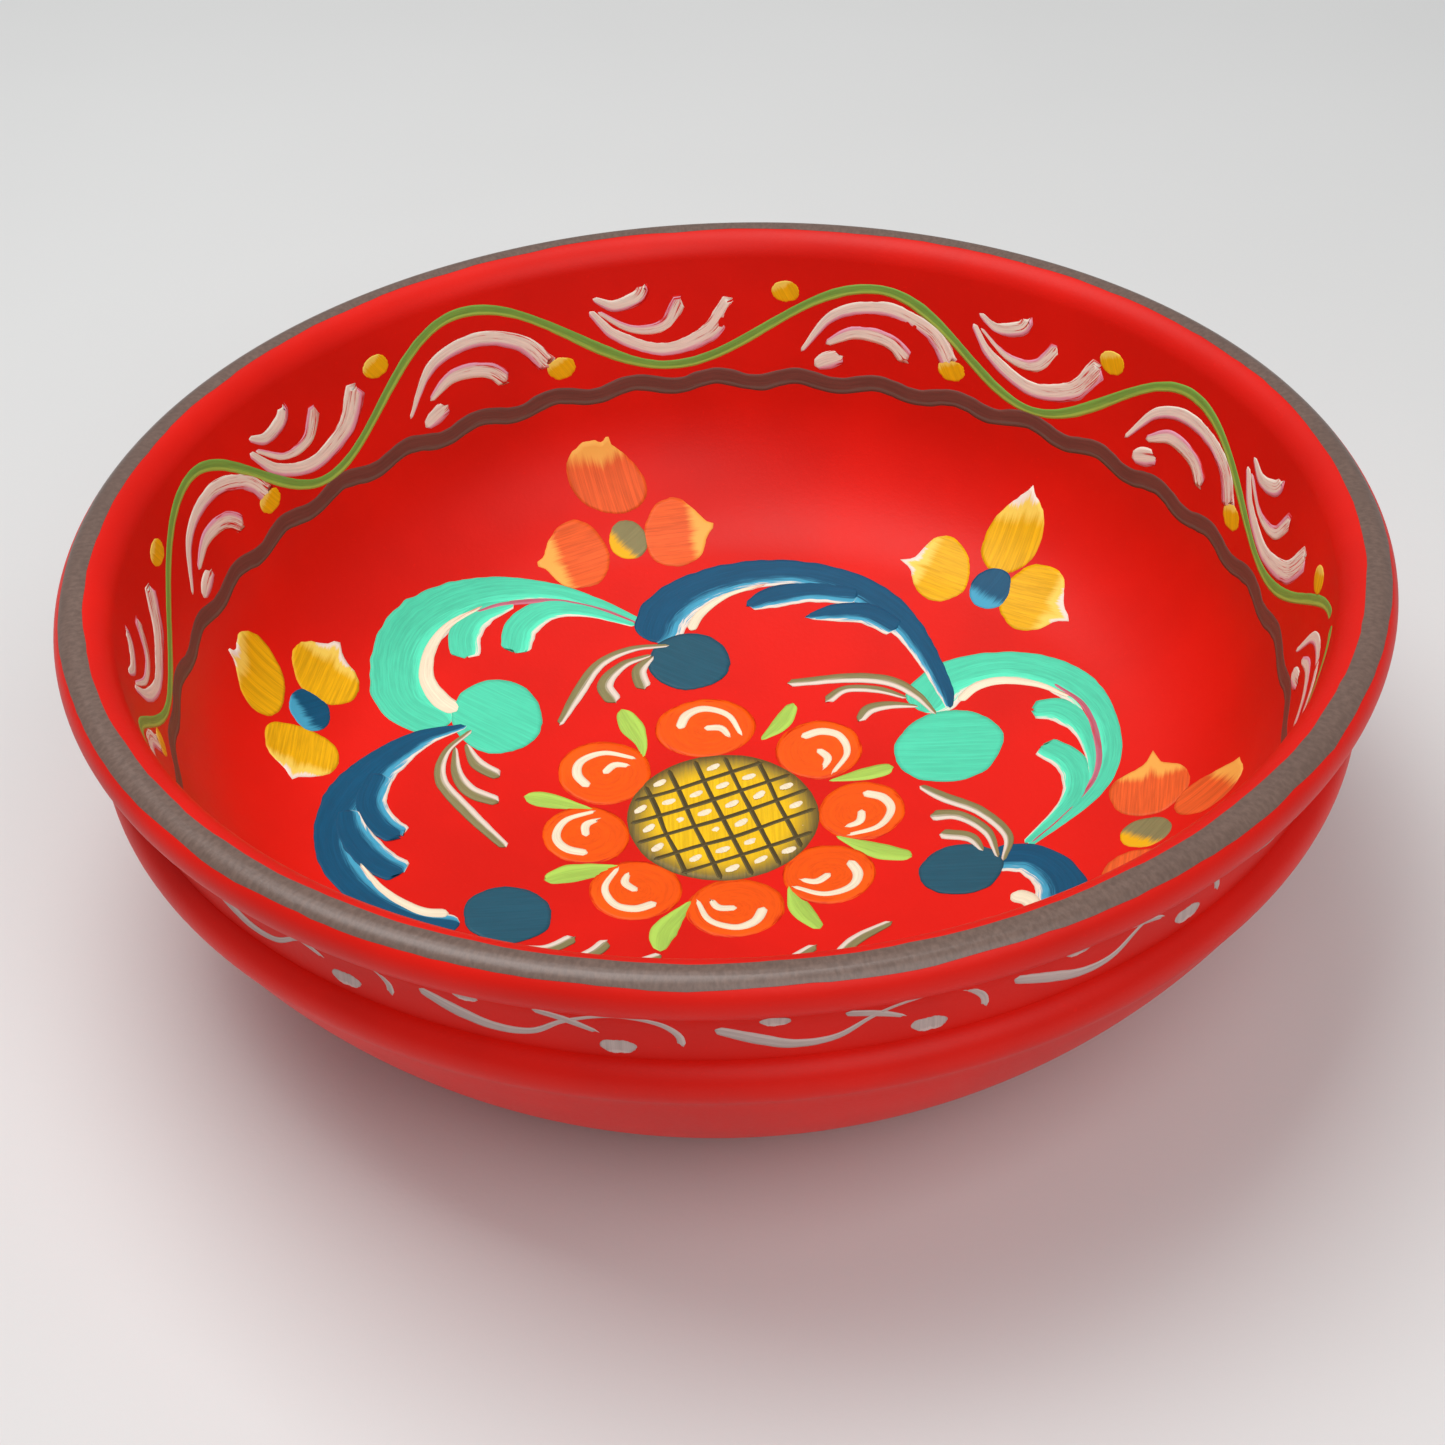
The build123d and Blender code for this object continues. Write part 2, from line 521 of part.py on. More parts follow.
def paint_inside_plan(layer_one, layer_two):
    """Every motif that is drawn in plan on the floor and its shoulder."""
    flower_disc = Pos(*flower_centre) * Circle(disc_radius)
    petals = union(petal(i) for i in range(len(flower_angles))) - flower_disc
    leaves = union(stroke(points) for points in flower_leaves) - petals - flower_disc
    teal_balls = union(oval(*root) for root in teal_roots)
    blue_balls = union(oval(*root) for root in blue_roots)
    balls = teal_balls + blue_balls
    teal = union(stroke(points) for scroll in (teal_left, teal_right, teal_front)
                 for points in scroll) - balls
    blue = union(stroke(points) for scroll in (blue_back, blue_left, blue_right)
                 for points in scroll) - balls - teal
    fronds = union(stroke(points) for points in tendrils) - balls - teal - blue
    flat = {"flower_disc": flower_disc, "flower_petals": petals, "flower_leaves": leaves,
            "teal_scroll_roots": teal_balls, "blue_scroll_roots": blue_balls,
            "teal_scrolls": teal, "blue_scrolls": blue, "olive_tendrils": fronds}
    for colour, tulips in (("orange", orange_tulips), ("yellow", yellow_tulips)):
        hearts = union(oval(*heart) for heart, _ in tulips)
        flat[colour + "_tulip_petals"] = union(
            pointed(*shape) for _, shapes in tulips for shape in shapes) - hearts
        flat[colour + "_tulip_hearts"] = hearts
    for name, sketch in flat.items():
        save(name, laid_inside(sketch, layer_one))
    shine = union(stroke(ring_place(i, points)) for i in range(len(flower_angles))
                  for points in petal_shine)
    bars = lattice()
    for name, sketch in (("petal_highlights", shine), ("disc_lattice", bars),
                         ("disc_seeds", seeds() - bars)):
        save(name, laid_inside(sketch, layer_two))


def paint_wall(layer):
    """The border on the inner wall."""
    save("border_vine", border_vine(coat, coat + paint))
    save("wavy_line", wavy_line(coat, coat + paint))
    groups = (("crest_leaves", crest_leaves, crest_angles),
              ("trough_leaves", trough_leaves, trough_angles))
    for name, strokes, bends in groups:
        save(name, Compound([laid_on_wall(points, bend, layer)
                             for bend in bends for points in strokes]))
    save("vine_buds", Compound([dab(crest + angle, climb, layer)
                                for crest in crest_angles for angle, climb in dab_offsets]))


def paint_cove(layer):
    """The repeating ornament in the cove."""
    starts = [cove_start + 360 * i / cove_repeats for i in range(cove_repeats)]
    save("cove_scrollwork", Compound([cove_stroke(cove_scroll, start, layer)
                                      + cove_stroke(cove_dash, start, layer)
                                      for start in starts]))
    save("cove_dots", Compound([cove_dot(dot, start, layer)
                                for start in starts for dot in cove_dots]))


os.makedirs("parts", exist_ok=True)
first = coat + paint
second = first + paint
save("turned_bowl", wooden_bowl())
save("ground_coat_inside", skin(inside_edges, 0, coat))
save("ground_coat_outside", skin(outside_edges, 0, coat, bare_foot))
save("rim_band", painted_rim())
brushwork = skin(inside_edges, coat, first)
paint_inside_plan(brushwork, skin(inside_edges, first, second))
paint_wall(brushwork)
paint_cove(skin(outside_edges, coat, first, bare_foot))
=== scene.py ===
import math

import bmesh
import bpy
from mathutils import Matrix, Vector, noise


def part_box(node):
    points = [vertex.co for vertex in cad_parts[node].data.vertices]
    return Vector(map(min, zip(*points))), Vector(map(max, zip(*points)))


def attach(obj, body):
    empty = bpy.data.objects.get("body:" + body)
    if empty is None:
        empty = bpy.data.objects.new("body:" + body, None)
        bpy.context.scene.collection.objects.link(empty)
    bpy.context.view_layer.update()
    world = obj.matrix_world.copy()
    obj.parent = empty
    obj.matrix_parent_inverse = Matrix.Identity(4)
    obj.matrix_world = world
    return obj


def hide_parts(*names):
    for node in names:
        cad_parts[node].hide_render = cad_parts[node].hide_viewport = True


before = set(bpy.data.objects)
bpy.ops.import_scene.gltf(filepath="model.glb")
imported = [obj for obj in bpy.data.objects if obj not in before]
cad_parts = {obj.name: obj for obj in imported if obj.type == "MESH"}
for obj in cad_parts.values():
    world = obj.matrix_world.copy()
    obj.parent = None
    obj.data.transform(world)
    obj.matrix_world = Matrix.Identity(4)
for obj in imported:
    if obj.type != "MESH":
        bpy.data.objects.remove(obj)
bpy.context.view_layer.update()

bl_info = {
    "name": "Painted turned bowl",
    "version": (1, 0, 0),
    "blender": (4, 5, 0),
    "location": "View3D > Sidebar > Bowl",
    "description": "Builds a turned wooden bowl and its brushwork, layer by layer, round the fixed frame",
    "category": "Object",
}

# Sizes are in millimetres and angles in degrees, anticlockwise from +X seen from above.
# Meshes are made in metres, in the frame's own place.
MM = 0.001
BODY = "root"

# ---- the turned shape, as the frame has it ----
WOOD_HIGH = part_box("turned_bowl")[1]
RIM = WOOD_HIGH.x / MM
HEIGHT = WOOD_HIGH.z / MM
BASE, FOOT_EDGE, FOOT_RING, FOOT_RECESS = 84.0, 1.2, 18.0, 1.2
FLOOR = 8.8
WALL_SLOPE, WALL_RUN = 78.0, 37.0
SHOULDER = 40.0
LIP_INNER, LIP_OUTER, LIP_UNDERSIDE = 7.0, 4.6, 60.0
COVE = 12.4
BEAD, BEAD_DROP, BEAD_INSET, BEAD_END = 5.0, 30.4, 9.7, 50.0
BODY_CURVE = 130.0
COAT = 0.3
BARE_FOOT = 3.0
BITE = 0.03              # how far brushwork sinks into the coat below
LAYER = 0.3              # height of one layer, in which strokes count their lift
BAND_INNER, BAND_OUTER = 15.0, 42.0
BAND_PAINT = 0.05        # how far the band stands off the coat, away from the worn crest
BAND_BITE = 0.02         # how far the band's underside is off the wood
WORN, WORN_OVER = 8, 6   # degrees of roll that are worn thin, and over which that ends
BAND_INNER_SWAY = [(3.2, 9, 2), (1.6, 34, 5)]      # (degrees, pitch, seed) of each wave
BAND_OUTER_SWAY = [(6, 7, 7), (3, 30, 8)]
LAP, LAP_START = 0.9, 60   # the coats under the band: share of a coat, and roll outside
TURNS = 288              # facets round the axis


def on_circle(centre, radius, angle):
    """A point of a circle in the turned outline."""
    turn = math.radians(angle)
    return (centre[0] + radius * math.cos(turn), centre[1] + radius * math.sin(turn))


def seen_from(centre, point):
    """The angle of a point seen from a centre."""
    return math.degrees(math.atan2(point[1] - centre[1], point[0] - centre[0]))


CREST = (RIM - LIP_OUTER, HEIGHT)
LIP_IN = (CREST[0], HEIGHT - LIP_INNER)
LIP_OUT = (CREST[0], HEIGHT - LIP_OUTER)
WALL_TOP = on_circle(LIP_IN, LIP_INNER, 90 + WALL_SLOPE)
SLOPE = math.radians(WALL_SLOPE)
WALL_FOOT = (WALL_TOP[0] - WALL_RUN * math.cos(SLOPE), WALL_TOP[1] - WALL_RUN * math.sin(SLOPE))
BEND = on_circle(WALL_FOOT, SHOULDER, 90 + WALL_SLOPE)
FLOOR_CURVE = ((BEND[0] ** 2 + (BEND[1] - FLOOR) ** 2 - SHOULDER ** 2)
               / (2 * (BEND[1] - FLOOR - SHOULDER)))
FLOOR_MIDDLE = (0.0, FLOOR + FLOOR_CURVE)
FLOOR_ANGLE = math.degrees(math.asin(BEND[0] / (FLOOR_CURVE - SHOULDER)))
FLOOR_REACH = FLOOR_CURVE * math.sin(math.radians(FLOOR_ANGLE))
COVE_MIDDLE = on_circle(LIP_OUT, LIP_OUTER + COVE, -LIP_UNDERSIDE)
COVE_WALL = COVE_MIDDLE[0] - COVE
BEAD_MIDDLE = (RIM - BEAD_INSET, HEIGHT - BEAD_DROP)
BODY_TOP = on_circle(BEAD_MIDDLE, BEAD, -BEAD_END)
BODY_FOOT = (BASE + FOOT_EDGE, FOOT_EDGE)


def body_middle():
    """Centre of the body's outer curve."""
    run = (BODY_FOOT[0] - BODY_TOP[0], BODY_FOOT[1] - BODY_TOP[1])
    chord = math.hypot(*run)
    reach = math.sqrt(BODY_CURVE ** 2 - chord ** 2 / 4) / chord
    return ((BODY_TOP[0] + BODY_FOOT[0]) / 2 + reach * run[1],
            (BODY_TOP[1] + BODY_FOOT[1]) / 2 - reach * run[0])


BODY_MIDDLE = body_middle()


def arc(centre, radius, start, stop, pieces):
    """Points along an arc of the turned outline, as (radius, height)."""
    return [on_circle(centre, radius, start + (stop - start) * i / pieces)
            for i in range(pieces + 1)]


def inside_outline(lift):
    """The inside, from the axis to the inner edge of the rim band."""
    floor = arc(FLOOR_MIDDLE, FLOOR_CURVE - lift, 270, 270 + FLOOR_ANGLE, 40)
    floor[0] = (0.0, floor[0][1])
    bend = arc(BEND, SHOULDER - lift, 270 + FLOOR_ANGLE, 270 + WALL_SLOPE, 30)
    roll = arc(LIP_IN, LIP_INNER + lift, 90 + WALL_SLOPE, 90 + BAND_INNER, 14)
    return floor + bend[1:] + roll


def band_outline(lift, inner, outer):
    """The crest of the lip between two angles of roll."""
    return (arc(LIP_IN, LIP_INNER + lift, 90 + inner, 90, 5)
            + arc(LIP_OUT, LIP_OUTER + lift, 90, 90 - outer, 12)[1:])


def outside_outline(lift, low):
    """The outside, from the outer edge of the rim band down to a height."""
    roll = arc(LIP_OUT, LIP_OUTER + lift, 90 - BAND_OUTER, -LIP_UNDERSIDE, 20)
    hollow = arc(COVE_MIDDLE, COVE - lift, 180 - LIP_UNDERSIDE, 180, 14)[1:]
    wall = COVE_WALL + lift
    bead = BEAD + lift
    bead_top = (wall, BEAD_MIDDLE[1] + math.sqrt(bead ** 2 - (wall - BEAD_MIDDLE[0]) ** 2))
    joint = on_circle(BEAD_MIDDLE, bead, -BEAD_END + math.degrees(lift / BEAD))
    end = (BODY_MIDDLE[0]
           + math.sqrt((BODY_CURVE + lift) ** 2 - (low - BODY_MIDDLE[1]) ** 2), low)
    beading = arc(BEAD_MIDDLE, bead, seen_from(BEAD_MIDDLE, bead_top),
                  seen_from(BEAD_MIDDLE, joint), 22)
    start = seen_from(BODY_MIDDLE, BODY_TOP) - math.degrees(lift / BODY_CURVE)
    body = arc(BODY_MIDDLE, BODY_CURVE + lift, start, seen_from(BODY_MIDDLE, end), 40)
    return roll + hollow + beading + body[1:]


# ---- surfaces that brushwork is laid on: each takes a place in mm and a lift off the wood ----

def on_floor(x, y, lift):
    """A place given in plan, on the floor or its shoulder."""
    reach = max(math.hypot(x, y), 1e-6)
    if reach < FLOOR_REACH:
        middle, radius = FLOOR_MIDDLE, FLOOR_CURVE
    else:
        middle, radius = BEND, SHOULDER
    across = reach - middle[0]
    level = middle[1] - math.sqrt(max(radius ** 2 - across ** 2, 0))
    out = reach - across / radius * lift
    return Vector((x / reach * out, y / reach * out, level + (middle[1] - level) / radius * lift)) * MM


def on_wall(run, climb, lift):
    """A place on the inner wall: run round it from +X, climb up its slope."""
    turn = run / WALL_FOOT[0]
    reach = WALL_FOOT[0] + climb * math.cos(SLOPE) - lift * math.sin(SLOPE)
    level = WALL_FOOT[1] + climb * math.sin(SLOPE) + lift * math.cos(SLOPE)
    return Vector((reach * math.cos(turn), reach * math.sin(turn), level)) * MM


def on_cove(run, drop, lift):
    """A place in the cove outside: run round it from +X, drop below the crest."""
    turn = run / COVE_WALL
    level = HEIGHT - drop
    rise = level - COVE_MIDDLE[1]
    if rise > 0:
        across = math.sqrt(max(COVE ** 2 - rise ** 2, 0))
        reach = COVE_MIDDLE[0] - across * (1 - lift / COVE)
        level = COVE_MIDDLE[1] + rise * (1 - lift / COVE)
    else:
        reach = COVE_WALL + lift
    return Vector((reach * math.cos(turn), reach * math.sin(turn), level)) * MM


def round_wall(points):
    """(angle, climb, half width) turned into runs round the wall."""
    return [(math.radians(a) * WALL_FOOT[0], b, half) for a, b, half in points]


def round_cove(points):
    """(angle, drop, half width) turned into runs round the cove."""
    return [(math.radians(a) * COVE_WALL, b, half) for a, b, half in points]


# ---- the painted design ----
RIPPLES, RIPPLE_HEIGHT, WAVY_CLIMB, WAVY_HALF = 36, 1.0, 4.9, 2.2
VINE_HALF = 1.25
VINE_ENDS = (-13.6, 344.2)
VINE_BENDS = [            # (angle, climb up the wall) of each crest and trough
    (-16, 33.6), (7.5, 10.7), (28.5, 31.7), (50, 8.7), (70.5, 30.7), (95, 9.7),
    (120, 34.0), (141.5, 8.7), (161, 33.2), (184.5, 8.2), (206, 32.5), (228, 9.0),
    (252, 32.0), (276, 9.2), (300, 32.8), (322, 9.0), (344, 33.6), (367.5, 10.7)]
CREST_ANGLES = [-16, 28.5, 70.5, 120, 161, 206, 252, 300]
TROUGH_ANGLES = [7.5, 50, 95, 141.5, 184.5, 228, 276, 322]

# leaf strokes beside the vine: (angle from the bend, climb, half width)
CREST_LEAVES = [
    [(8.5, 12.5, 0.5), (4.5, 23.0, 1.4), (-1.5, 26.0, 1.9), (-7.0, 22.0, 2.1), (-10.0, 14.5, 2.6)],
    [(5.5, 15.0, 0.8), (2.0, 18.8, 1.8), (-2.2, 17.6, 2.0), (-4.5, 13.4, 2.3)],
    [(6.8, 8.8, 1.2), (5.2, 10.6, 2.4), (3.4, 12.0, 1.6)]]
TROUGH_LEAVES = [
    [(9.2, 26.5, 0.8), (6.2, 19.0, 1.5), (1.0, 14.2, 1.9), (-4.6, 17.6, 2.6), (-7.6, 26.0, 3.1)],
    [(8.2, 26.0, 0.5), (4.4, 20.4, 1.0), (0.6, 20.6, 1.6), (-1.6, 27.0, 2.0)],
    [(8.6, 29.6, 0.6), (6.2, 27.0, 1.5), (3.4, 28.4, 1.9), (2.4, 31.6, 1.4)]]
BUDS = [(-10.6, 13.2), (10.8, 28.6)]      # from a crest: (angle, climb)
BUD_RADII = (3.7, 2.8)

# scrolls: (x, y, half width) from the root to the tip, then the lobes from joint to blunt end.
# The last word of each row is the side that carries the second colour.
TEAL_SCROLLS = [
    ([(-68, 30, 6.5), (-78, 37, 8), (-80.5, 50, 7), (-77.5, 61, 6.5), (-69, 71, 5.4),
      (-57, 77.5, 4.2), (-44, 78.6, 3), (-32, 74.6, 2.1), (-21, 69, 0.8)], "right"),
    ([(-54, 74, 1.5), (-62, 69, 3.6), (-65.5, 62, 4), (-65, 54, 3.8)], "left"),
    ([(-23, 68, 0.7), (-35, 72.5, 2), (-45, 72.5, 3.5), (-51.5, 66, 4.2), (-53, 57.3, 3.7)], "left"),
    ([(47, 31, 7), (54, 40.5, 6.6), (66, 42.8, 5), (77, 38, 5), (84.6, 29, 4.6), (88.6, 17, 3),
      (87.8, 4, 2.8), (81.6, -7.5, 2.5), (66, -21.5, 0.8)], "right"),
    ([(83, -3, 1), (84.4, 6, 1.8), (83.5, 16, 2.8), (79, 23.6, 3.8), (73, 25.5, 3)], "left"),
    ([(65.5, -20.4, 0.8), (76, -10, 2.2), (79.6, -2, 3.3), (78.6, 6, 3.6), (73.5, 12.5, 3.3)], "left"),
    ([(-10, -64, 6), (-14, -74, 6.6), (-24, -81, 6), (-36, -81, 4.6), (-46, -74, 3.4),
      (-52, -62, 2), (-53, -47, 0.8)], "right"),
    ([(-33, -78.5, 1.6), (-27, -74, 3), (-22, -69, 2.8)], "right"),
    ([(-43, -73, 2), (-37, -70, 3.2), (-33, -65, 2.8)], "right")]
BLUE_SCROLLS = [
    ([(-18, 62, 6), (-15, 72, 6.8), (-7, 79.6, 6), (5, 84, 5), (18, 84, 4.2), (30, 79, 4.5),
      (39, 71, 4.8), (45.5, 61, 3.8), (50, 49, 2.8), (53, 37, 2), (53.5, 31, 0.8)], "right"),
    ([(34, 74, 3), (22, 77, 3.5), (12, 76, 3.6), (6, 73.5, 1.6)], "left"),
    ([(43, 61, 3), (36, 67.5, 3.5), (28, 69, 3), (21, 68.5, 0.9)], "left"),
    ([(-61, -40.3, 3), (-70, -39.5, 3.6), (-80, -34, 4.2), (-88, -24, 4.6), (-91, -11, 4.4),
      (-88, 2, 5.6), (-82, 14, 4.6), (-74, 24, 2.8), (-64, 30, 0.8)], "right"),
    ([(-82.5, 10, 3), (-84, 0, 3.8), (-81, -7, 4), (-76.3, -11, 3.9)], "left"),
    ([(-88.5, -4, 2.5), (-86.5, -12, 4), (-81, -20, 4.6), (-74.8, -24, 4.2)], "left"),
    ([(57, -24, 4.6), (66, -26.5, 5), (71, -36, 5.6), (69.5, -48, 6.2), (62, -60, 6.2),
      (50, -69.5, 5.4), (36, -75, 4.2), (22, -76, 3), (10, -70, 1.8), (3.5, -61, 0.8)], "right"),
    ([(52, -66, 3), (55, -59, 3.8), (52, -53, 3.4)], "left"),
    ([(36, -71.5, 2.6), (41, -66.5, 3.4), (39, -61, 3.2)], "left")]
CREAM_EDGES = [          # cream laid thick along the inside of a scroll, teal and blue by turns
    [(-66, 35, 2.5), (-70.6, 38.6, 2.6), (-74.2, 46, 1.9), (-73.6, 56, 1.4), (-69.6, 64.5, 0.9),
     (-62, 71.6, 0.4)],
    [(-9, 66, 1.3), (-6, 72, 1.2), (1, 77.8, 0.7), (11, 80.9, 0.3)],
    [(56, 33, 1.2), (60.6, 37, 1.4), (67, 37.6, 1.3), (75, 34, 0.9), (82, 27.5, 0.4)],
    [(-63.6, -37, 1.6), (-70, -36.6, 1.4), (-78, -31, 1.0), (-84, -22.5, 0.4)],
    [(-8, -70, 1.8), (-14, -69, 1.4), (-19, -74, 0.6)],
    [(60.4, -37.6, 2.4), (64, -41, 2), (64.6, -47, 1.2), (62, -53, 0.5)]]
PINK_STREAKS = [         # a thin dry line of the next colour, dragged along a scroll
    [(-63, 70, 0.4), (-56, 73.6, 0.8), (-44, 75.6, 0.9), (-32, 73.4, 0.6), (-22, 68.6, 0.3)],
    [(79, 33, 0.4), (84.5, 24, 0.8), (86, 12, 1.0), (84.4, 0, 0.9), (78, -9.6, 0.7), (67, -20.6, 0.3)]]
TEAL_ROOTS = [(-56.5, 34, 11, 13), (52, 17.6, 12.9, 12.6), (-1.5, -61, 10.5, 9.5)]
BLUE_ROOTS = [(-9.5, 55, 10.4, 9.8), (50.5, -26.4, 9.4, 8.8), (-50.8, -36, 9.6, 10)]
TENDRILS = [
    [(-14.5, 60.8, 0.5), (-24, 59.5, 1.0), (-32, 54, 1.4), (-37, 44, 1.6), (-41.5, 32.5, 0.8)],
    [(-19, 57.5, 0.5), (-26, 54, 1.2), (-30.5, 47, 2.0), (-28, 41, 2.2)],
    [(-18.5, 57, 0.5), (-22, 52, 1.8), (-20.8, 45.5, 2.0)],
    [(-62.5, 28.5, 0.5), (-68, 20, 0.9), (-68.5, 10, 1.5), (-62, 0, 1.8), (-52.5, -12, 1.2)],
    [(-66, 22, 0.5), (-65, 13, 1.4), (-61.5, 7, 2.0), (-55, 4, 1.8)],
    [(-63.5, 23.5, 0.6), (-60.5, 17, 1.8), (-55, 13, 1.8)],
    [(50, 29.5, 0.5), (46, 37, 1.2), (40, 43, 1.6), (30, 45.8, 1.6), (15, 45.8, 1.2)],
    [(43.5, 36.5, 0.5), (37, 40.5, 1.1), (29, 42.0, 1.2), (24, 38.5, 1.5)],
    [(46, 33, 0.4), (40, 34.6, 1.2), (34.5, 34.2, 1.7), (31.5, 30.5, 1.2)],
    [(60, -25.5, 0.5), (62, -17, 1.2), (57, -7, 1.4), (49, 0, 1.5), (44, 5, 0.8)],
    [(59, -24, 0.5), (57.6, -14.5, 1.2), (52, -7.4, 1.5), (45.5, -6, 1.9)],
    [(56, -21, 0.5), (53.5, -15.5, 1.5), (47, -12.8, 1.7)],
    [(-50, -47, 0.5), (-42, -47.6, 1.4), (-36, -43.2, 1.6)],
    [(-47, -49, 0.5), (-37, -51, 1.3), (-32, -48.6, 1.6), (-28.8, -44.4, 1.6)],
    [(-48, -51, 0.5), (-36, -56, 1.2), (-26, -54, 1.5), (-17, -49.2, 1.2)],
    [(6, -62, 0.5), (17, -58, 1.2), (25, -47.6, 1.6), (33.5, -42, 0.9)],
    [(7, -56, 0.5), (12, -52, 1.4), (16.5, -48.2, 1.2)]]

# tulips: heart (x, y, x radius, y radius), then petals as (x, y, radii, tip x, tip y)
ORANGE_TULIPS = [
    ((-24.5, 96, 5, 5.4), [(-37.5, 90, 8.3, 9.6, -49.5, 86.5), (-29.5, 108.3, 10.4, 5.8, -29, 115.6),
                           (-12.2, 97.6, 8.2, 9.4, -1, 101)]),
    ((91.5, -25, 5.6, 5), [(94.6, -10.8, 8.8, 8.6, 98, 3), (105.6, -20.4, 7.2, 5.8, 113, -17),
                           (88, -38.5, 8, 8.2, 84, -50)]),
    ((-65, -72, 5, 5), [(-56, -82.5, 8.4, 8, -44, -91), (-74, -79.5, 8.2, 6.4, -82, -87),
                        (-72.6, -61.5, 7.6, 7.8, -82.5, -51)])]
YELLOW_TULIPS = [
    ((67.5, 69, 5.4, 6.2), [(55.8, 78, 7.4, 9.6, 45.5, 84.6), (74, 79.6, 7.8, 7.6, 79.6, 86.8),
                            (77, 62.2, 8, 9.4, 86, 51.6)]),
    ((-100, 26.4, 4.5, 6.1), [(-100.4, 12.8, 8.1, 8, -102, 1.6), (-110.4, 27.2, 4.9, 9.6, -117, 26),
                              (-97.4, 38.4, 7.4, 8.4, -95, 51.4)]),
    ((27, -94, 5, 5), [(41, -92.5, 8, 7.8, 53, -91), (29.5, -105, 7.6, 5.8, 31.5, -112.6),
                       (15.5, -95.5, 7.6, 8, 2.5, -99)])]

FLOWER = (-2.5, -0.7)
DISC = 22.4
PETAL_ANGLES = [96, 43.2, -1.4, -43.5, -86.5, -128.6, -169.6, -210.8]
PETAL_REACH = 32.4
PETAL_RADII = [(10.2, 12.4), (10.4, 10.4), (10.0, 10.4), (10.6, 10.4), (10.4, 11.0),
               (10.6, 10.4), (10.0, 10.2), (11.2, 11.2)]
PETAL_SHINE = [
    [(0.6, 6.4, 1.2), (5.2, 4.0, 1.2), (6.8, -0.6, 1.0), (3.6, -6.0, 0.8), (-3.6, -8.2, 0.5)],
    [(0.0, 0.4, 0.9), (-0.6, -3.6, 1.0), (-3.8, -5.2, 0.6)]]
FLOWER_LEAVES = [
    [(-21.2, 21.5, 0.4), (-21.6, 26.5, 1.5), (-24, 32.5, 3.0), (-26.4, 38.4, 1.5)],
    [(7.5, 26.6, 0.5), (12.6, 32, 2.3), (15.8, 38.6, 1.4)],
    [(23, 10.3, 0.3), (32, 11.6, 2.2), (38.4, 12.8, 1.8)],
    [(23.5, -9.6, 0.4), (32.4, -16, 2.6), (40, -19.4, 1.7)],
    [(11.8, -26, 0.4), (14, -34.5, 2.5), (18, -42, 1.2)],
    [(-10.4, -30, 0.4), (-16.2, -40, 3.0), (-17.4, -47.6, 1.3)],
    [(-25, -17.4, 0.6), (-36.6, -20, 3.1), (-43.2, -23, 1.7)],
    [(-33, 2.9, 0.3), (-43, 5.4, 2.6), (-49, 6.4, 1.9)]]
LATTICE_ANGLES = (-73.5, 22.5)
LATTICE_PITCH = 7.0
LATTICE_LINES = 5
LATTICE_HALF = 0.6
LATTICE_INSET = 0.8      # the lattice stops this far inside the disc
SEED_RADII, SEED_TURN, SEED_INSET = (1.9, 0.9), 35, 2.6
SEED_LIFT = 0.13         # off the wood

COVE_REPEATS, COVE_START = 15, -116.0
COVE_SCROLL = [(0, 17.3, 1.1), (3.3, 20.3, 1.3), (6.3, 22.0, 1.0), (9.3, 21.3, 0.7),
               (11.8, 17.8, 0.5), (14.3, 14.9, 0.5), (16.8, 13.7, 0.6), (19.3, 15.5, 0.7),
               (20.9, 18.8, 0.7), (21.2, 21.6, 0.8)]
COVE_DASH = [(9.8, 14.8, 1.1), (12.4, 16.9, 0.9), (14.6, 19.2, 0.4)]
COVE_DOTS = [(4.6, 15.3, 2.8, 1.6), (16.6, 22.3, 3.4, 1.6)]


def srgb(red, green, blue):
    """A display colour, 0 to 255, as the linear colour that shaders take."""
    def linear(part):
        part /= 255
        return part / 12.92 if part <= 0.04045 else ((part + 0.055) / 1.055) ** 2.4
    return (linear(red), linear(green), linear(blue))


def colour(name, red, green, blue):
    """A colour that a user can change."""
    return bpy.props.FloatVectorProperty(
        name=name, description=f"Colour of the {name.lower()}", subtype="COLOR", size=3,
        min=0, max=1, default=srgb(red, green, blue))


class BowlColours(bpy.types.PropertyGroup):
    """The paints on the bowl."""
    red: colour("Red ground", 226, 22, 6)
    wood: colour("Bare wood", 186, 138, 88)
    band: colour("Rim band", 112, 90, 80)
    line: colour("Wavy line", 118, 70, 60)
    vine: colour("Vine", 126, 178, 76)
    white: colour("White", 247, 238, 221)
    blush: colour("Blush", 232, 166, 186)
    pink: colour("Pink", 190, 110, 130)
    yellow: colour("Yellow", 246, 190, 8)
    butter: colour("Pale yellow", 252, 222, 96)
    teal: colour("Teal", 84, 226, 184)
    blue: colour("Blue", 6, 86, 122)
    deep: colour("Deep blue", 34, 92, 112)
    sky: colour("Light blue", 70, 172, 206)
    olive: colour("Olive", 142, 138, 92)
    orange: colour("Orange", 252, 92, 6)
    coral: colour("Coral", 250, 106, 44)
    apricot: colour("Apricot", 254, 186, 84)
    leaf: colour("Leaf green", 172, 216, 92)
    gold: colour("Gold", 246, 204, 24)
    umber: colour("Umber", 92, 84, 48)
    cream: colour("Cream", 253, 244, 212)
    chalk: colour("Grey white", 196, 178, 172)


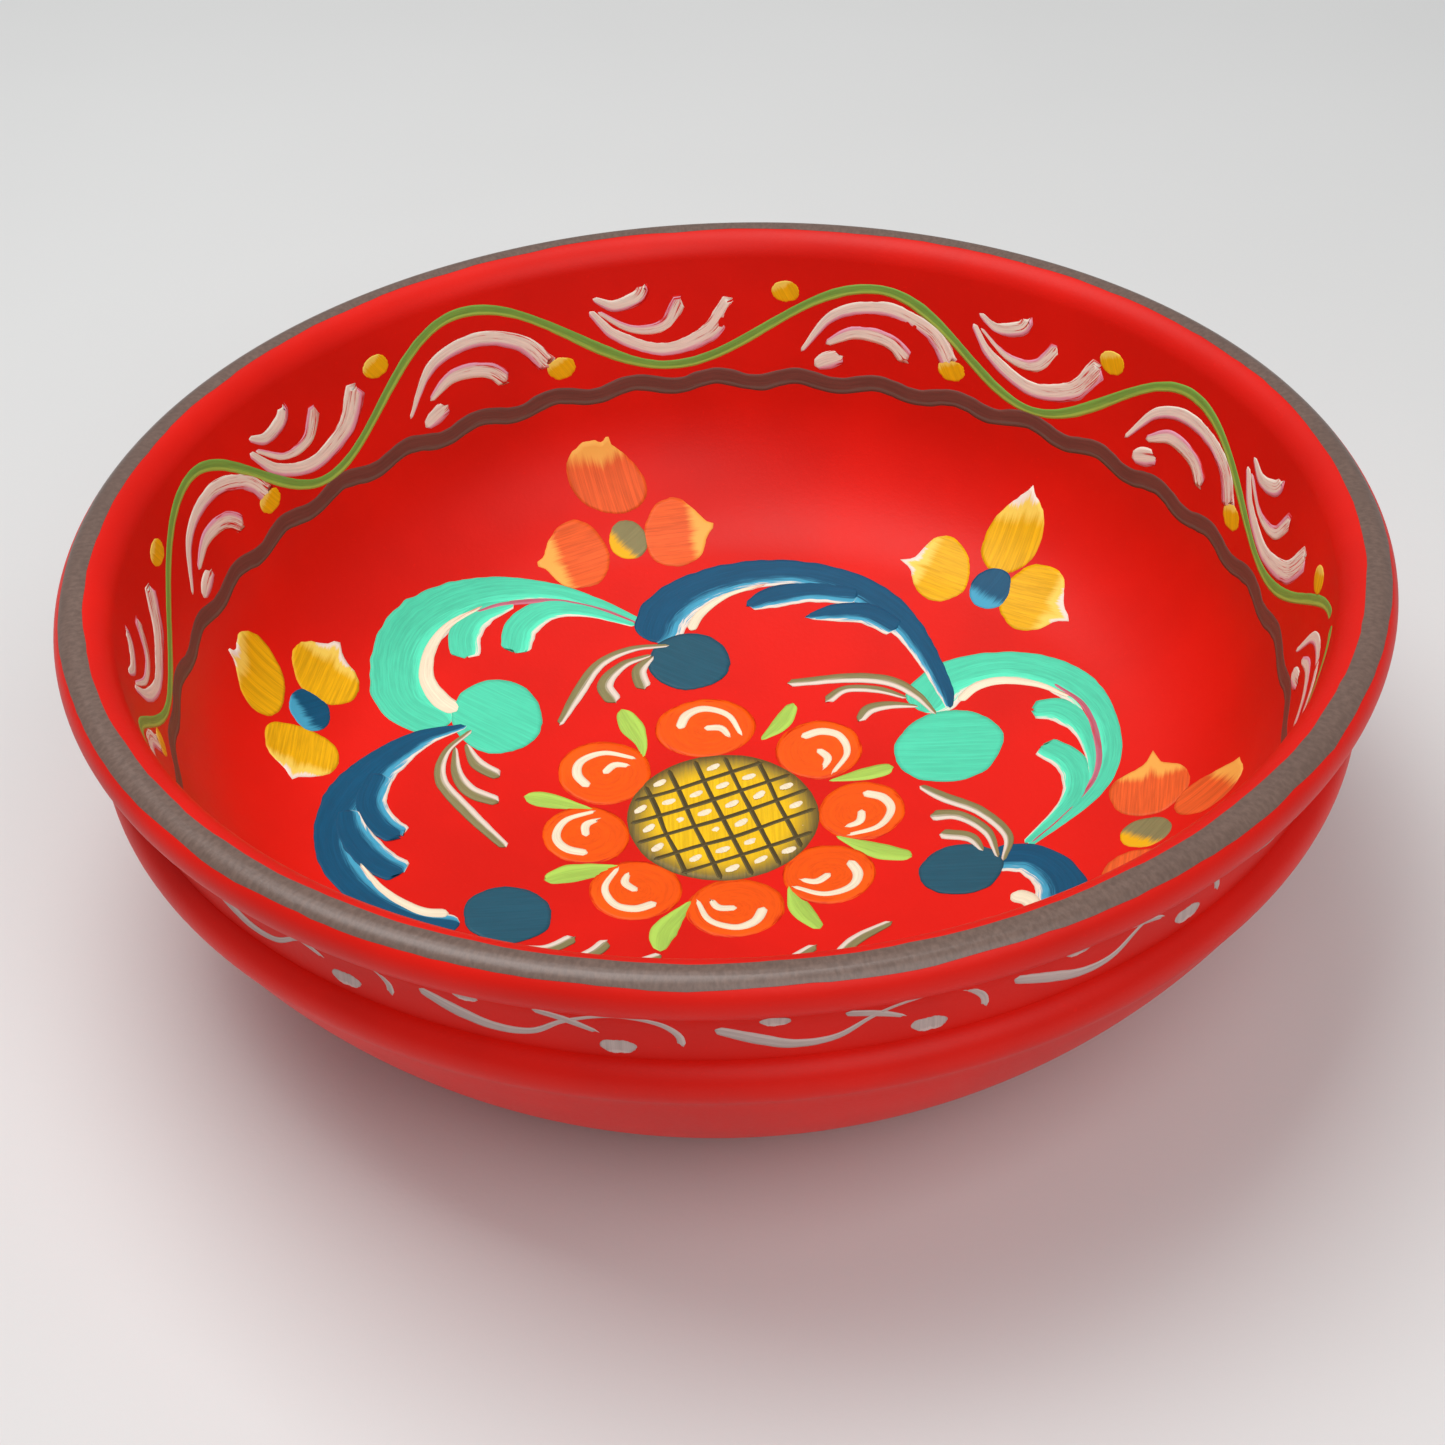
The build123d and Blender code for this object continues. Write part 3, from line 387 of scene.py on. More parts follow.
class BrushSettings(bpy.types.PropertyGroup):
    """How the paint lies."""
    paint: bpy.props.FloatProperty(
        name="Paint thickness", description="Thickness of one layer of brushwork",
        default=0.07 * MM, min=0.03 * MM, max=0.6 * MM, unit="LENGTH")
    wobble: bpy.props.FloatProperty(
        name="Edge wobble", description="Unsteadiness of a stroke's edge, as a share of its width",
        default=0.07, min=0, max=0.3, subtype="FACTOR")
    step: bpy.props.FloatProperty(
        name="Step", description="Distance between rows of vertices along a stroke",
        default=0.8 * MM, min=0.3 * MM, max=3 * MM, unit="LENGTH")


class StudioSettings(bpy.types.PropertyGroup):
    """Camera and light."""
    lens: bpy.props.FloatProperty(
        name="Lens", description="Focal length on a 36 mm sensor", default=59.8, min=20, max=200)
    distance: bpy.props.FloatProperty(
        name="Distance", description="Camera in front of the bowl's axis",
        default=424.6 * MM, unit="LENGTH")
    camera_height: bpy.props.FloatProperty(
        name="Height", description="Camera above the floor", default=376.6 * MM, unit="LENGTH")
    pitch: bpy.props.FloatProperty(
        name="Pitch", description="How far the camera looks down",
        default=math.radians(38.64), subtype="ANGLE")
    yaw: bpy.props.FloatProperty(
        name="Yaw", description="How far the camera looks to the right",
        default=math.radians(-0.22), subtype="ANGLE")
    roll: bpy.props.FloatProperty(
        name="Roll", description="How far the camera leans", default=math.radians(-2.53),
        subtype="ANGLE")
    key: bpy.props.FloatProperty(
        name="Key light", description="Power of the large light above", default=12, min=0)
    fill: bpy.props.FloatProperty(
        name="Fill light", description="Power of the light in front", default=9, min=0)
    sky: bpy.props.FloatProperty(
        name="Sky", description="Strength of the even light from all round", default=0.26, min=0)


# ---- shader expressions ----

class Val:
    """A number socket of a shader that can be used in sums."""

    def __init__(self, recipe, socket):
        self.recipe, self.socket = recipe, socket

    def maths(self, operation, *others):
        inputs = dict(enumerate([self, *others]))
        node = self.recipe.node("ShaderNodeMath", {"operation": operation}, inputs)
        return Val(self.recipe, node.outputs[0])

    def __add__(self, other):
        return self.maths("ADD", other)

    def __mul__(self, other):
        return self.maths("MULTIPLY", other)

    def __sub__(self, other):
        return self.maths("SUBTRACT", other)

    def __rsub__(self, other):
        return (self * -1) + other

    __radd__ = __add__
    __rmul__ = __mul__

    def smooth(self, low, high):
        """0 below low, 1 above high, and a soft step between."""
        node = self.recipe.node(
            "ShaderNodeMapRange", {"interpolation_type": "SMOOTHSTEP"},
            {"Value": self, "From Min": low, "From Max": high})
        return Val(self.recipe, node.outputs["Result"])


SHEEN = 0.22              # how strongly old oil paint reflects, where 0.5 is glass


class Recipe:
    """One material, built from expressions."""

    def __init__(self, name):
        self.material = bpy.data.materials.new(name)
        self.material.use_nodes = True
        self.tree = self.material.node_tree
        self.tree.nodes.clear()
        self.surface = self.node("ShaderNodeBsdfPrincipled", {}, {"Specular IOR Level": SHEEN})
        self.node("ShaderNodeOutputMaterial", {}, {"Surface": self.surface.outputs[0]})

    def node(self, kind, settings=None, sockets=None):
        """Add a node: settings first, then a value or a link for each socket."""
        made = self.tree.nodes.new(kind)
        for key, value in (settings or {}).items():
            setattr(made, key, value)
        for key, value in (sockets or {}).items():
            if isinstance(key, int):
                target = made.inputs[key]
            else:
                target = next(s for s in made.inputs if s.name == key and s.enabled)
            if isinstance(value, Val):
                value = value.socket
            if isinstance(value, bpy.types.NodeSocket):
                self.tree.links.new(value, target)
            elif target.type == "RGBA" and len(value) == 3:
                target.default_value = (*value, 1)
            else:
                target.default_value = value
        return made

    def place(self, stretch=(1, 1, 1)):
        """Object coordinates, stretched."""
        where = self.node("ShaderNodeTexCoord").outputs["Object"]
        return self.node("ShaderNodeVectorMath", {"operation": "MULTIPLY"},
                         {0: where, 1: stretch}).outputs[0]

    def attribute(self, name, kind="Fac"):
        node = self.node("ShaderNodeAttribute", {"attribute_name": name})
        return Val(self, node.outputs["Fac"]) if kind == "Fac" else node.outputs["Vector"]

    def noise(self, vector, scale, detail=3.0, roughness=0.5):
        node = self.node("ShaderNodeTexNoise", {},
                         {"Vector": vector, "Scale": scale, "Detail": detail,
                          "Roughness": roughness})
        return Val(self, node.outputs[0])

    def mix(self, share, first, second):
        """A colour between two colours."""
        node = self.node("ShaderNodeMix", {"data_type": "RGBA"},
                         {"Factor": share, "A": first, "B": second})
        return next(s for s in node.outputs if s.enabled)

    def bump(self, height, strength, distance):
        return self.node("ShaderNodeBump", {},
                         {"Height": height, "Strength": strength, "Distance": distance}).outputs[0]

    def finish(self, base, roughness, normal):
        """Wire what varies and set what doesn't."""
        links = {"Base Color": base, "Roughness": roughness, "Normal": normal}
        for name, value in links.items():
            value = value.socket if isinstance(value, Val) else value
            if isinstance(value, bpy.types.NodeSocket):
                self.tree.links.new(value, self.surface.inputs[name])
            elif value is not None:
                self.surface.inputs[name].default_value = value
        return self.material


def tint(paint, factor):
    """A lighter or darker version of a colour."""
    return tuple(min(1.0, part * factor) for part in paint)


def ground_red(name):
    """Brushed and rubbed red oil paint, with a faint orange peel."""
    red = bpy.context.scene.bowl_colours.red
    recipe = Recipe(name)
    where = recipe.place()
    cloud = recipe.noise(where, 22, 3)
    peel = recipe.noise(where, 900, 2, 0.6)
    grit = recipe.noise(where, 2600, 1)
    base = recipe.mix(cloud.smooth(0.3, 0.7), tint(red, 0.9), tint(red, 1.06))
    base = recipe.mix(peel.smooth(0.62, 0.8) * 0.25, base, tint(red, 1.25))
    rough = 0.36 + cloud * 0.1 + peel * 0.08
    normal = recipe.bump(peel + grit * 0.4, 0.16, 0.0002)
    return recipe.finish(base, rough, normal)


def turned_wood():
    """Turned pale wood with rings and open pores."""
    wood = bpy.context.scene.bowl_colours.wood
    recipe = Recipe("bare_turned_wood")
    where = recipe.place((1, 6, 2))
    rings = recipe.noise(where, 14, 4, 0.6)
    pores = recipe.noise(recipe.place((60, 900, 300)), 1, 2)
    base = recipe.mix(rings.smooth(0.35, 0.65), tint(wood, 0.72), tint(wood, 1.05))
    base = recipe.mix(pores.smooth(0.6, 0.75) * 0.5, base, tint(wood, 0.45))
    return recipe.finish(base, 0.6 + rings * 0.15, recipe.bump(pores, 0.3, 0.0002))


def rim_brown():
    """Thin brown paint dragged across the lip, worn through in small chips."""
    paints = bpy.context.scene.bowl_colours
    recipe = Recipe("rim_band_brown")
    recipe.surface.inputs["Specular IOR Level"].default_value = 0.5
    drag = recipe.noise(recipe.attribute("grain", "Vector"), 1, 4, 0.65)
    where = recipe.place()
    chips = recipe.noise(where, 75, 6, 0.75).smooth(0.735, 0.75)
    cloud = recipe.noise(where, 28, 3)
    base = recipe.mix(drag.smooth(0.3, 0.72), tint(paints.band, 0.84), tint(paints.band, 1.22))
    base = recipe.mix(cloud.smooth(0.45, 0.75) * 0.3, base, tint(paints.band, 0.7))
    base = recipe.mix(chips * 0.8, base, tint(paints.red, 0.9))
    return recipe.finish(base, 0.24 + drag * 0.16, recipe.bump(drag - chips * 0.8, 0.22, 0.0002))


def brushed(name, body, second=None, width=0.3, glint=None, thin=0.25, streak=0.5, shade=0.84,
            fray=0.55):
    """Oil paint laid with a loaded round brush.

    body is the main colour and second the one carried on the brush's edge, over a share
    width of the stroke, with glint at the very edge. thin is how far the ground shows
    through where the brush runs dry, shade how dark the furrows between bristles are, and
    fray how far the two colours run into each other.
    """
    red = bpy.context.scene.bowl_colours.red
    recipe = Recipe(name)
    grain = recipe.node("ShaderNodeVectorMath", {"operation": "MULTIPLY_ADD"},
                        {0: recipe.attribute("repeat", "Vector"), 1: (3.1, 5.3, 7.7),
                         2: recipe.attribute("grain", "Vector")}).outputs[0]
    bristles = recipe.noise(grain, 1, 3, 0.62)
    hairs = recipe.noise(grain, 3.3, 2, 0.5)
    cloud = recipe.noise(recipe.place(), 160, 2)
    load = recipe.attribute("load")
    mark = bristles * 0.65 + hairs * 0.35
    base = recipe.mix(mark.smooth(0.36, 0.66), tint(body, shade), tint(body, 1.06))
    base = recipe.mix(cloud.smooth(0.4, 0.7) * 0.22, base, tint(body, 1.12))
    edge = recipe.attribute("edge") + (mark - 0.5) * fray
    if second is not None:
        base = recipe.mix(edge.smooth(1 - width * 1.5, 1 - width * 0.7), base, second)
    if glint is not None:
        base = recipe.mix(edge.smooth(1 - width * 0.55, 1 - width * 0.25), base, glint)
    cover = (load + (mark - 0.5) * streak * 2).smooth(0.0, thin + 0.02)
    base = recipe.mix(cover, tint(red, 0.92), base)
    relief = (bristles * 0.7 + hairs * 0.3) * cover
    return recipe.finish(base, 0.4 + (1 - mark) * 0.14, recipe.bump(relief, 0.3, 0.0002))


def disc_gold():
    """Gold that darkens to umber at the rim of the flower's disc, in dabbed strokes."""
    paints = bpy.context.scene.bowl_colours
    recipe = Recipe("disc_gold")
    grain = recipe.noise(recipe.attribute("grain", "Vector"), 1, 3, 0.6)
    out = recipe.attribute("edge") + (grain - 0.5) * 0.2
    base = recipe.mix(grain.smooth(0.35, 0.7), tint(paints.gold, 0.86), tint(paints.gold, 1.08))
    base = recipe.mix(out.smooth(0.66, 1.02), base, tint(paints.umber, 1.5))
    return recipe.finish(base, 0.38 + grain * 0.12, recipe.bump(grain, 0.4, 0.0003))


def plain_floor():
    """Pale paper under the bowl."""
    recipe = Recipe("studio_floor")
    cloud = recipe.noise(recipe.place(), 6, 3)
    base = recipe.mix(cloud, (0.72, 0.72, 0.71), (0.76, 0.76, 0.75))
    return recipe.finish(base, 0.6, recipe.bump(recipe.noise(recipe.place(), 700, 2), 0.1, 0.0003))


# ---- meshes ----

# A stroke. Across it v runs from -1 to 1, and lengths are in mm or in half widths.
LEAST_HALF = 0.15                    # half width of the finest hairline
LEAST_HEIGHT = 0.01                  # paint is never thinner than this
COLUMNS, COLUMNS_PER_MM = (6, 18), 2.6
BLUNT = 0.03                         # squared share of the width left at the very end
EDGE_PITCH = 0.35                    # waves of an unsteady edge, per mm
FRAY_OVER, FRAY_PITCH, FRAY_FAR = 1.6, 2.2, 1.8      # bristles that overrun the end
EDGE, CROWN, FULL = 0.18, 5, 0.8     # height at the edge, steepness there, height in the middle
RIDGE, RIDGE_AT, RIDGE_WIDE = 0.18, 0.82, 0.14       # paint pushed aside to both edges
HAIR, HAIR_ACROSS, HAIR_ALONG = 0.22, 1.7, 0.12      # furrows between bristles
GRAIN_ACROSS, GRAIN_ALONG = 1.9, 0.07
GRAIN_SHIFT = (3.7, 1.3)             # moves the grain from one stroke to the next
DRY_EDGE, DRY_FROM = 0.25, 0.8       # paint missing at the edges, and where that starts

# A round mark. From the middle to the rim share runs from 0 to 1.
RINGS, SPOKES, HOLE = 10, 56, 0.02
SLOW, QUICK = 1.7, 6                 # two waves of an unsteady rim
TIP_WIDE = 0.11                      # radians
BLOB_RIM, BLOB_CROWN, BLOB_FULL = 0.2, 7, 0.85
SWIRL, SWIRL_OUT, SWIRL_ROUND = 0.2, 0.9, 1.3
RING_OUT, RING_ROUND, PULL_ACROSS, PULL_ALONG, PULL_BEND = 1.25, 1.1, 1.5, 0.05, 0.008
BLOB_SHIFT = (2.9, 1.7)
BLOB_DRY_FROM = 0.6


def flow(points, step):
    """Evenly stepped rows (a, b, half width, run) along a smooth curve through points."""
    first = tuple(2 * p - q for p, q in zip(points[0], points[1]))
    last = tuple(2 * p - q for p, q in zip(points[-1], points[-2]))
    padded = [first, *points, last]
    rows = []
    for i in range(1, len(padded) - 2):
        p0, p1, p2, p3 = padded[i - 1:i + 3]
        count = max(2, math.ceil(math.dist(p1[:2], p2[:2]) / step))
        for k in range(count):
            t = k / count
            rows.append(tuple(
                0.5 * (2 * b + (c - a) * t + (2 * a - 5 * b + 4 * c - d) * t ** 2
                       + (3 * b - a - 3 * c + d) * t ** 3)
                for a, b, c, d in zip(p0, p1, p2, p3)))
    rows.append(tuple(points[-1]))
    run, out = 0.0, []
    for i, row in enumerate(rows):
        if i:
            run += math.dist(row[:2], rows[i - 1][:2])
        out.append((row[0], row[1], max(row[2], LEAST_HALF), run))
    return out


def wander(*where):
    """Smooth noise from -1 to 1."""
    return noise.noise(Vector(where))


class Paint:
    """Collects brush marks and turns them into one closed mesh per piece."""

    def __init__(self):
        self.verts, self.faces, self.slots = [], [], []
        self.grain, self.edge, self.load = [], [], []

    def point(self, place, grain, edge, load):
        self.verts.append(place)
        self.grain.append(grain)
        self.edge.append(edge)
        self.load.append(load)
        return len(self.verts) - 1

    def sheet(self, top, bottom, slot, closed):
        """Join a grid of top points to the same grid of bottom points."""
        rows, cols = len(top), len(top[0])
        quads = []
        for i in range(rows - 1):
            for j in range(cols if closed else cols - 1):
                k = (j + 1) % cols
                quads.append((top[i][j], top[i][k], top[i + 1][k], top[i + 1][j]))
                quads.append((bottom[i][j], bottom[i + 1][j], bottom[i + 1][k], bottom[i][k]))
        if not closed:
            for i in range(rows - 1):
                quads.append((top[i][0], top[i + 1][0], bottom[i + 1][0], bottom[i][0]))
                quads.append((top[i][-1], bottom[i][-1], bottom[i + 1][-1], top[i + 1][-1]))
            for j in range(cols - 1):
                quads.append((top[0][j], bottom[0][j], bottom[0][j + 1], top[0][j + 1]))
                quads.append((top[-1][j], top[-1][j + 1], bottom[-1][j + 1], bottom[-1][j]))
        self.faces += quads
        self.slots += [slot] * len(quads)

    def stroke(self, points, ground, seed, side="right", lift=0.0, thick=1.0, slot=0,
               caps=(1.0, 0.4), load=(1.0, 0.6), ragged=0.8):
        """One pull of the brush along points on a ground.

        caps rounds the two ends, in half widths; load is the paint left on the brush from
        the start to the end; ragged is how far single bristles overrun the end.
        """
        brush = bpy.context.scene.bowl_brush
        paint = brush.paint / MM * thick
        rows = flow(points, brush.step / MM)
        length = rows[-1][3]
        fewest, most = COLUMNS
        widest = max(row[2] for row in rows)
        cols = min(most, max(fewest, math.ceil(widest * COLUMNS_PER_MM)))
        top, bottom = [], []
        for i, (a, b, half, run) in enumerate(rows):
            before, after = rows[max(i - 1, 0)], rows[min(i + 1, len(rows) - 1)]
            da, db = after[0] - before[0], after[1] - before[1]
            size = math.hypot(da, db) or 1.0
            da, db = da / size, db / size
            left = length - run
            narrow = 1.0
            for gap, cap in ((run, caps[0]), (left, caps[1])):
                reach = cap * half
                if reach > 0 and gap < reach:
                    narrow *= math.sqrt(max(1 - (1 - gap / reach) ** 2, BLUNT))
            part = run / length
            top_row, bottom_row = [], []
            for j in range(cols):
                v = 2 * j / (cols - 1) - 1
                hand = 1 + brush.wobble * wander(run * EDGE_PITCH, math.copysign(3, v), seed)
                across = v * half * narrow * hand
                near = max(0.0, 1 - left / (FRAY_OVER * half))
                spread = wander(v * half * FRAY_PITCH, 5.5, seed)
                push = ragged * near ** 2 * spread * FRAY_FAR
                x = a + across * -db + da * push
                y = b + across * da + db * push
                crown = EDGE + (1 - EDGE) * (1 - abs(v) ** CROWN)
                ridge = RIDGE * math.exp(-((abs(v) - RIDGE_AT) / RIDGE_WIDE) ** 2)
                hair = HAIR * wander(v * half * HAIR_ACROSS, run * HAIR_ALONG, seed + 9)
                height = max(paint * (crown * (FULL + hair) + ridge), LEAST_HEIGHT)
                grain = (v * half * GRAIN_ACROSS + seed * GRAIN_SHIFT[0], run * GRAIN_ALONG,
                         seed * GRAIN_SHIFT[1])
                edge = (1 - v) / 2 if side == "right" else (1 + v) / 2
                left_load = load[0] + (load[1] - load[0]) * part
                outer = max(0.0, abs(v) - DRY_FROM) / (1 - DRY_FROM)
                left_load -= DRY_EDGE * outer * (1 - left_load)
                level = COAT + LAYER * lift + height
                top_row.append(self.point(ground(x, y, level), grain, edge, left_load))
                bottom_row.append(self.point(ground(x, y, COAT - BITE), grain, edge, left_load))
            top.append(top_row)
            bottom.append(bottom_row)
        self.sheet(top, bottom, slot, False)

    def blob(self, x, y, radii, ground, seed, turn=0.0, tip=None, light=90.0, lift=0.0, thick=1.0,
             wobble=0.05, load=0.95, radial=False, rings_of_paint=False, dry=0.0):
        """A round mark. light is the direction of its second colour; tip draws it to a point.

        The bristles leave rings where the brush was twirled, and otherwise lines along light.
        dry is how much less paint is left at the rim than in the middle.
        """
        brush = bpy.context.scene.bowl_brush
        paint = brush.paint / MM * thick
        lean = math.radians(turn)
        if tip:
            tip_angle = math.atan2(tip[1] - y, tip[0] - x)
            tip_reach = math.dist(tip, (x, y))
        top, bottom = [], []
        for i in range(RINGS + 1):
            share = max(i / RINGS, HOLE)
            top_row, bottom_row = [], []
            for j in range(SPOKES):
                way = 2 * math.pi * j / SPOKES
                c, s = math.cos(way - lean), math.sin(way - lean)
                reach = 1 / math.hypot(c / radii[0], s / radii[1])
                reach *= 1 + wobble * (wander(c * SLOW, s * SLOW, seed)
                                       + 0.5 * wander(c * QUICK, s * QUICK, seed + 4))
                if tip:
                    off = abs((way - tip_angle + math.pi) % (2 * math.pi) - math.pi)
                    reach += (tip_reach - reach) * math.exp(-off / TIP_WIDE)
                out = reach * share
                px, py = x + out * math.cos(way), y + out * math.sin(way)
                crown = BLOB_RIM + (1 - BLOB_RIM) * (1 - share ** BLOB_CROWN)
                swirl = SWIRL * wander(out * SWIRL_OUT, math.cos(way) * SWIRL_ROUND,
                                       math.sin(way) * SWIRL_ROUND + seed)
                height = max(paint * crown * (BLOB_FULL + swirl), LEAST_HEIGHT)
                facing = math.cos(way - math.radians(light)) * share
                edge = share if radial else 0.5 + 0.5 * facing
                if rings_of_paint:
                    grain = (out * RING_OUT + seed * BLOB_SHIFT[0], math.cos(way) * RING_ROUND,
                             math.sin(way) * RING_ROUND + seed * BLOB_SHIFT[1])
                else:
                    pull = way - math.radians(light)
                    along, across = out * math.cos(pull), out * math.sin(pull)
                    grain = (across * PULL_ACROSS + seed * BLOB_SHIFT[0],
                             along * PULL_ALONG + across ** 2 * PULL_BEND,
                             seed * BLOB_SHIFT[1])
                level = COAT + LAYER * lift + height
                left_load = load - dry * max(0.0, share - BLOB_DRY_FROM) / (1 - BLOB_DRY_FROM)
                top_row.append(self.point(ground(px, py, level), grain, edge, left_load))
                bottom_row.append(self.point(ground(px, py, COAT - BITE), grain, edge, left_load))
            top.append(top_row)
            bottom.append(bottom_row)
        self.sheet(top, bottom, 0, True)
        caps = []
        for row in (top[0], bottom[0]):
            caps.append(self.point(sum((self.verts[k] for k in row), Vector()) / SPOKES,
                                   self.grain[row[0]], self.edge[row[0]], load))
        for j in range(SPOKES):
            k = (j + 1) % SPOKES
            self.faces.append((caps[0], top[0][k], top[0][j]))
            self.faces.append((caps[1], bottom[0][j], bottom[0][k]))
            self.faces.append((top[-1][j], top[-1][k], bottom[-1][k], bottom[-1][j]))
            self.slots += [0] * 3

    def mesh(self, name, materials):
        """The marks as a mesh whose faces point outwards."""
        mesh = bpy.data.meshes.new(name)
        mesh.from_pydata([tuple(v) for v in self.verts], [], self.faces)
        for key, values in (("edge", self.edge), ("load", self.load)):
            data = mesh.attributes.new(key, "FLOAT", "POINT").data
            data.foreach_set("value", values)
        data = mesh.attributes.new("grain", "FLOAT_VECTOR", "POINT").data
        data.foreach_set("vector", [part for grain in self.grain for part in grain])
        for material in materials:
            mesh.materials.append(material)
        mesh.polygons.foreach_set("material_index", self.slots)
        outwards(mesh)
        mesh.polygons.foreach_set("use_smooth", [True] * len(mesh.polygons))
        return mesh


def outwards(mesh):
    """Point every face of a closed mesh outwards."""
    work = bmesh.new()
    work.from_mesh(mesh)
    bmesh.ops.recalc_face_normals(work, faces=work.faces)
    work.to_mesh(mesh)
    work.free()


def show(name, mesh, slot):
    """Put a finished mesh in the scene, in place of the CAD node of the same name."""
    piece = bpy.data.objects.new(name, mesh)
    bpy.context.scene.collection.objects.link(piece)
    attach(piece, BODY)
    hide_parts(name)


LATHE_GRAIN = (2.6, 0.14)   # grain per degree of turn and per point of the outline
SHARP = 35                  # degrees between faces that make a sharp edge
ON_AXIS = 1e-4              # points nearer the axis than this are one point


def lathe(name, outline, material, closed):
    """Spin an outline about the axis. outline gives its (radius, height) points at an angle."""
    mesh = bpy.data.meshes.new(name)
    verts, grain, rings = [], [], []
    for i in range(TURNS):
        turn = 360 * i / TURNS
        way = math.radians(turn)
        ring = []
        for k, (reach, level) in enumerate(outline(turn)):
            if reach < ON_AXIS and i:
                ring.append(rings[0][k])
                continue
            verts.append((reach * math.cos(way) * MM, reach * math.sin(way) * MM, level * MM))
            grain += [turn * LATHE_GRAIN[0], k * LATHE_GRAIN[1], 0.0]
            ring.append(len(verts) - 1)
        rings.append(ring)
    faces = []
    count = len(rings[0])
    for i in range(TURNS):
        here, there = rings[i], rings[(i + 1) % TURNS]
        for k in range(count if closed else count - 1):
            after = (k + 1) % count
            corners = (here[k], there[k], there[after], here[after])
            faces.append(tuple(dict.fromkeys(corners)))
    mesh.from_pydata(verts, [], faces)
    mesh.attributes.new("grain", "FLOAT_VECTOR", "POINT").data.foreach_set("vector", grain)
    mesh.materials.append(material)
    outwards(mesh)
    mesh.polygons.foreach_set("use_smooth", [True] * len(mesh.polygons))
    mesh.set_sharp_from_angle(angle=math.radians(SHARP))
    return mesh


# ---- geometry nodes ----

class Nodes:
    """A geometry node tree with named inputs."""

    def __init__(self, name, inputs):
        self.tree = bpy.data.node_groups.new(name, "GeometryNodeTree")
        self.keys = {}
        face = self.tree.interface
        face.new_socket("Geometry", in_out="INPUT", socket_type="NodeSocketGeometry")
        for label, kind in inputs:
            socket = face.new_socket(label, in_out="INPUT", socket_type=kind)
            self.keys[label] = socket.identifier
        face.new_socket("Geometry", in_out="OUTPUT", socket_type="NodeSocketGeometry")
        self.given = self.tree.nodes.new("NodeGroupInput").outputs
        self.result = self.tree.nodes.new("NodeGroupOutput").inputs["Geometry"]

    def add(self, kind, settings=None, sockets=None):
        made = self.tree.nodes.new(kind)
        for key, value in (settings or {}).items():
            setattr(made, key, value)
        for key, value in (sockets or {}).items():
            target = made.inputs[key]
            if isinstance(value, bpy.types.NodeSocket):
                self.tree.links.new(value, target)
            else:
                target.default_value = value
        return made

    def end(self, geometry):
        """Realize the instances, set the material and join to the output."""
        real = self.add("GeometryNodeRealizeInstances", {}, {"Geometry": geometry})
        painted = self.add("GeometryNodeSetMaterial", {},
                           {"Geometry": real.outputs[0], "Material": self.given["Material"]})
        self.tree.links.new(painted.outputs[0], self.result)

    def run(self, base, values, name):
        """Apply the tree to a mesh and return the result as a plain mesh."""
        holder = bpy.data.objects.new(name + "_base", base)
        bpy.context.scene.collection.objects.link(holder)
        modifier = holder.modifiers.new(name, "NODES")
        modifier.node_group = self.tree
        for label, value in values.items():
            modifier[self.keys[label]] = value
        bpy.context.view_layer.update()
        graph = bpy.context.evaluated_depsgraph_get()
        mesh = bpy.data.meshes.new_from_object(holder.evaluated_get(graph), depsgraph=graph)
        holder.modifiers.clear()
        bpy.data.objects.remove(holder)
        mesh.name = name
        return mesh


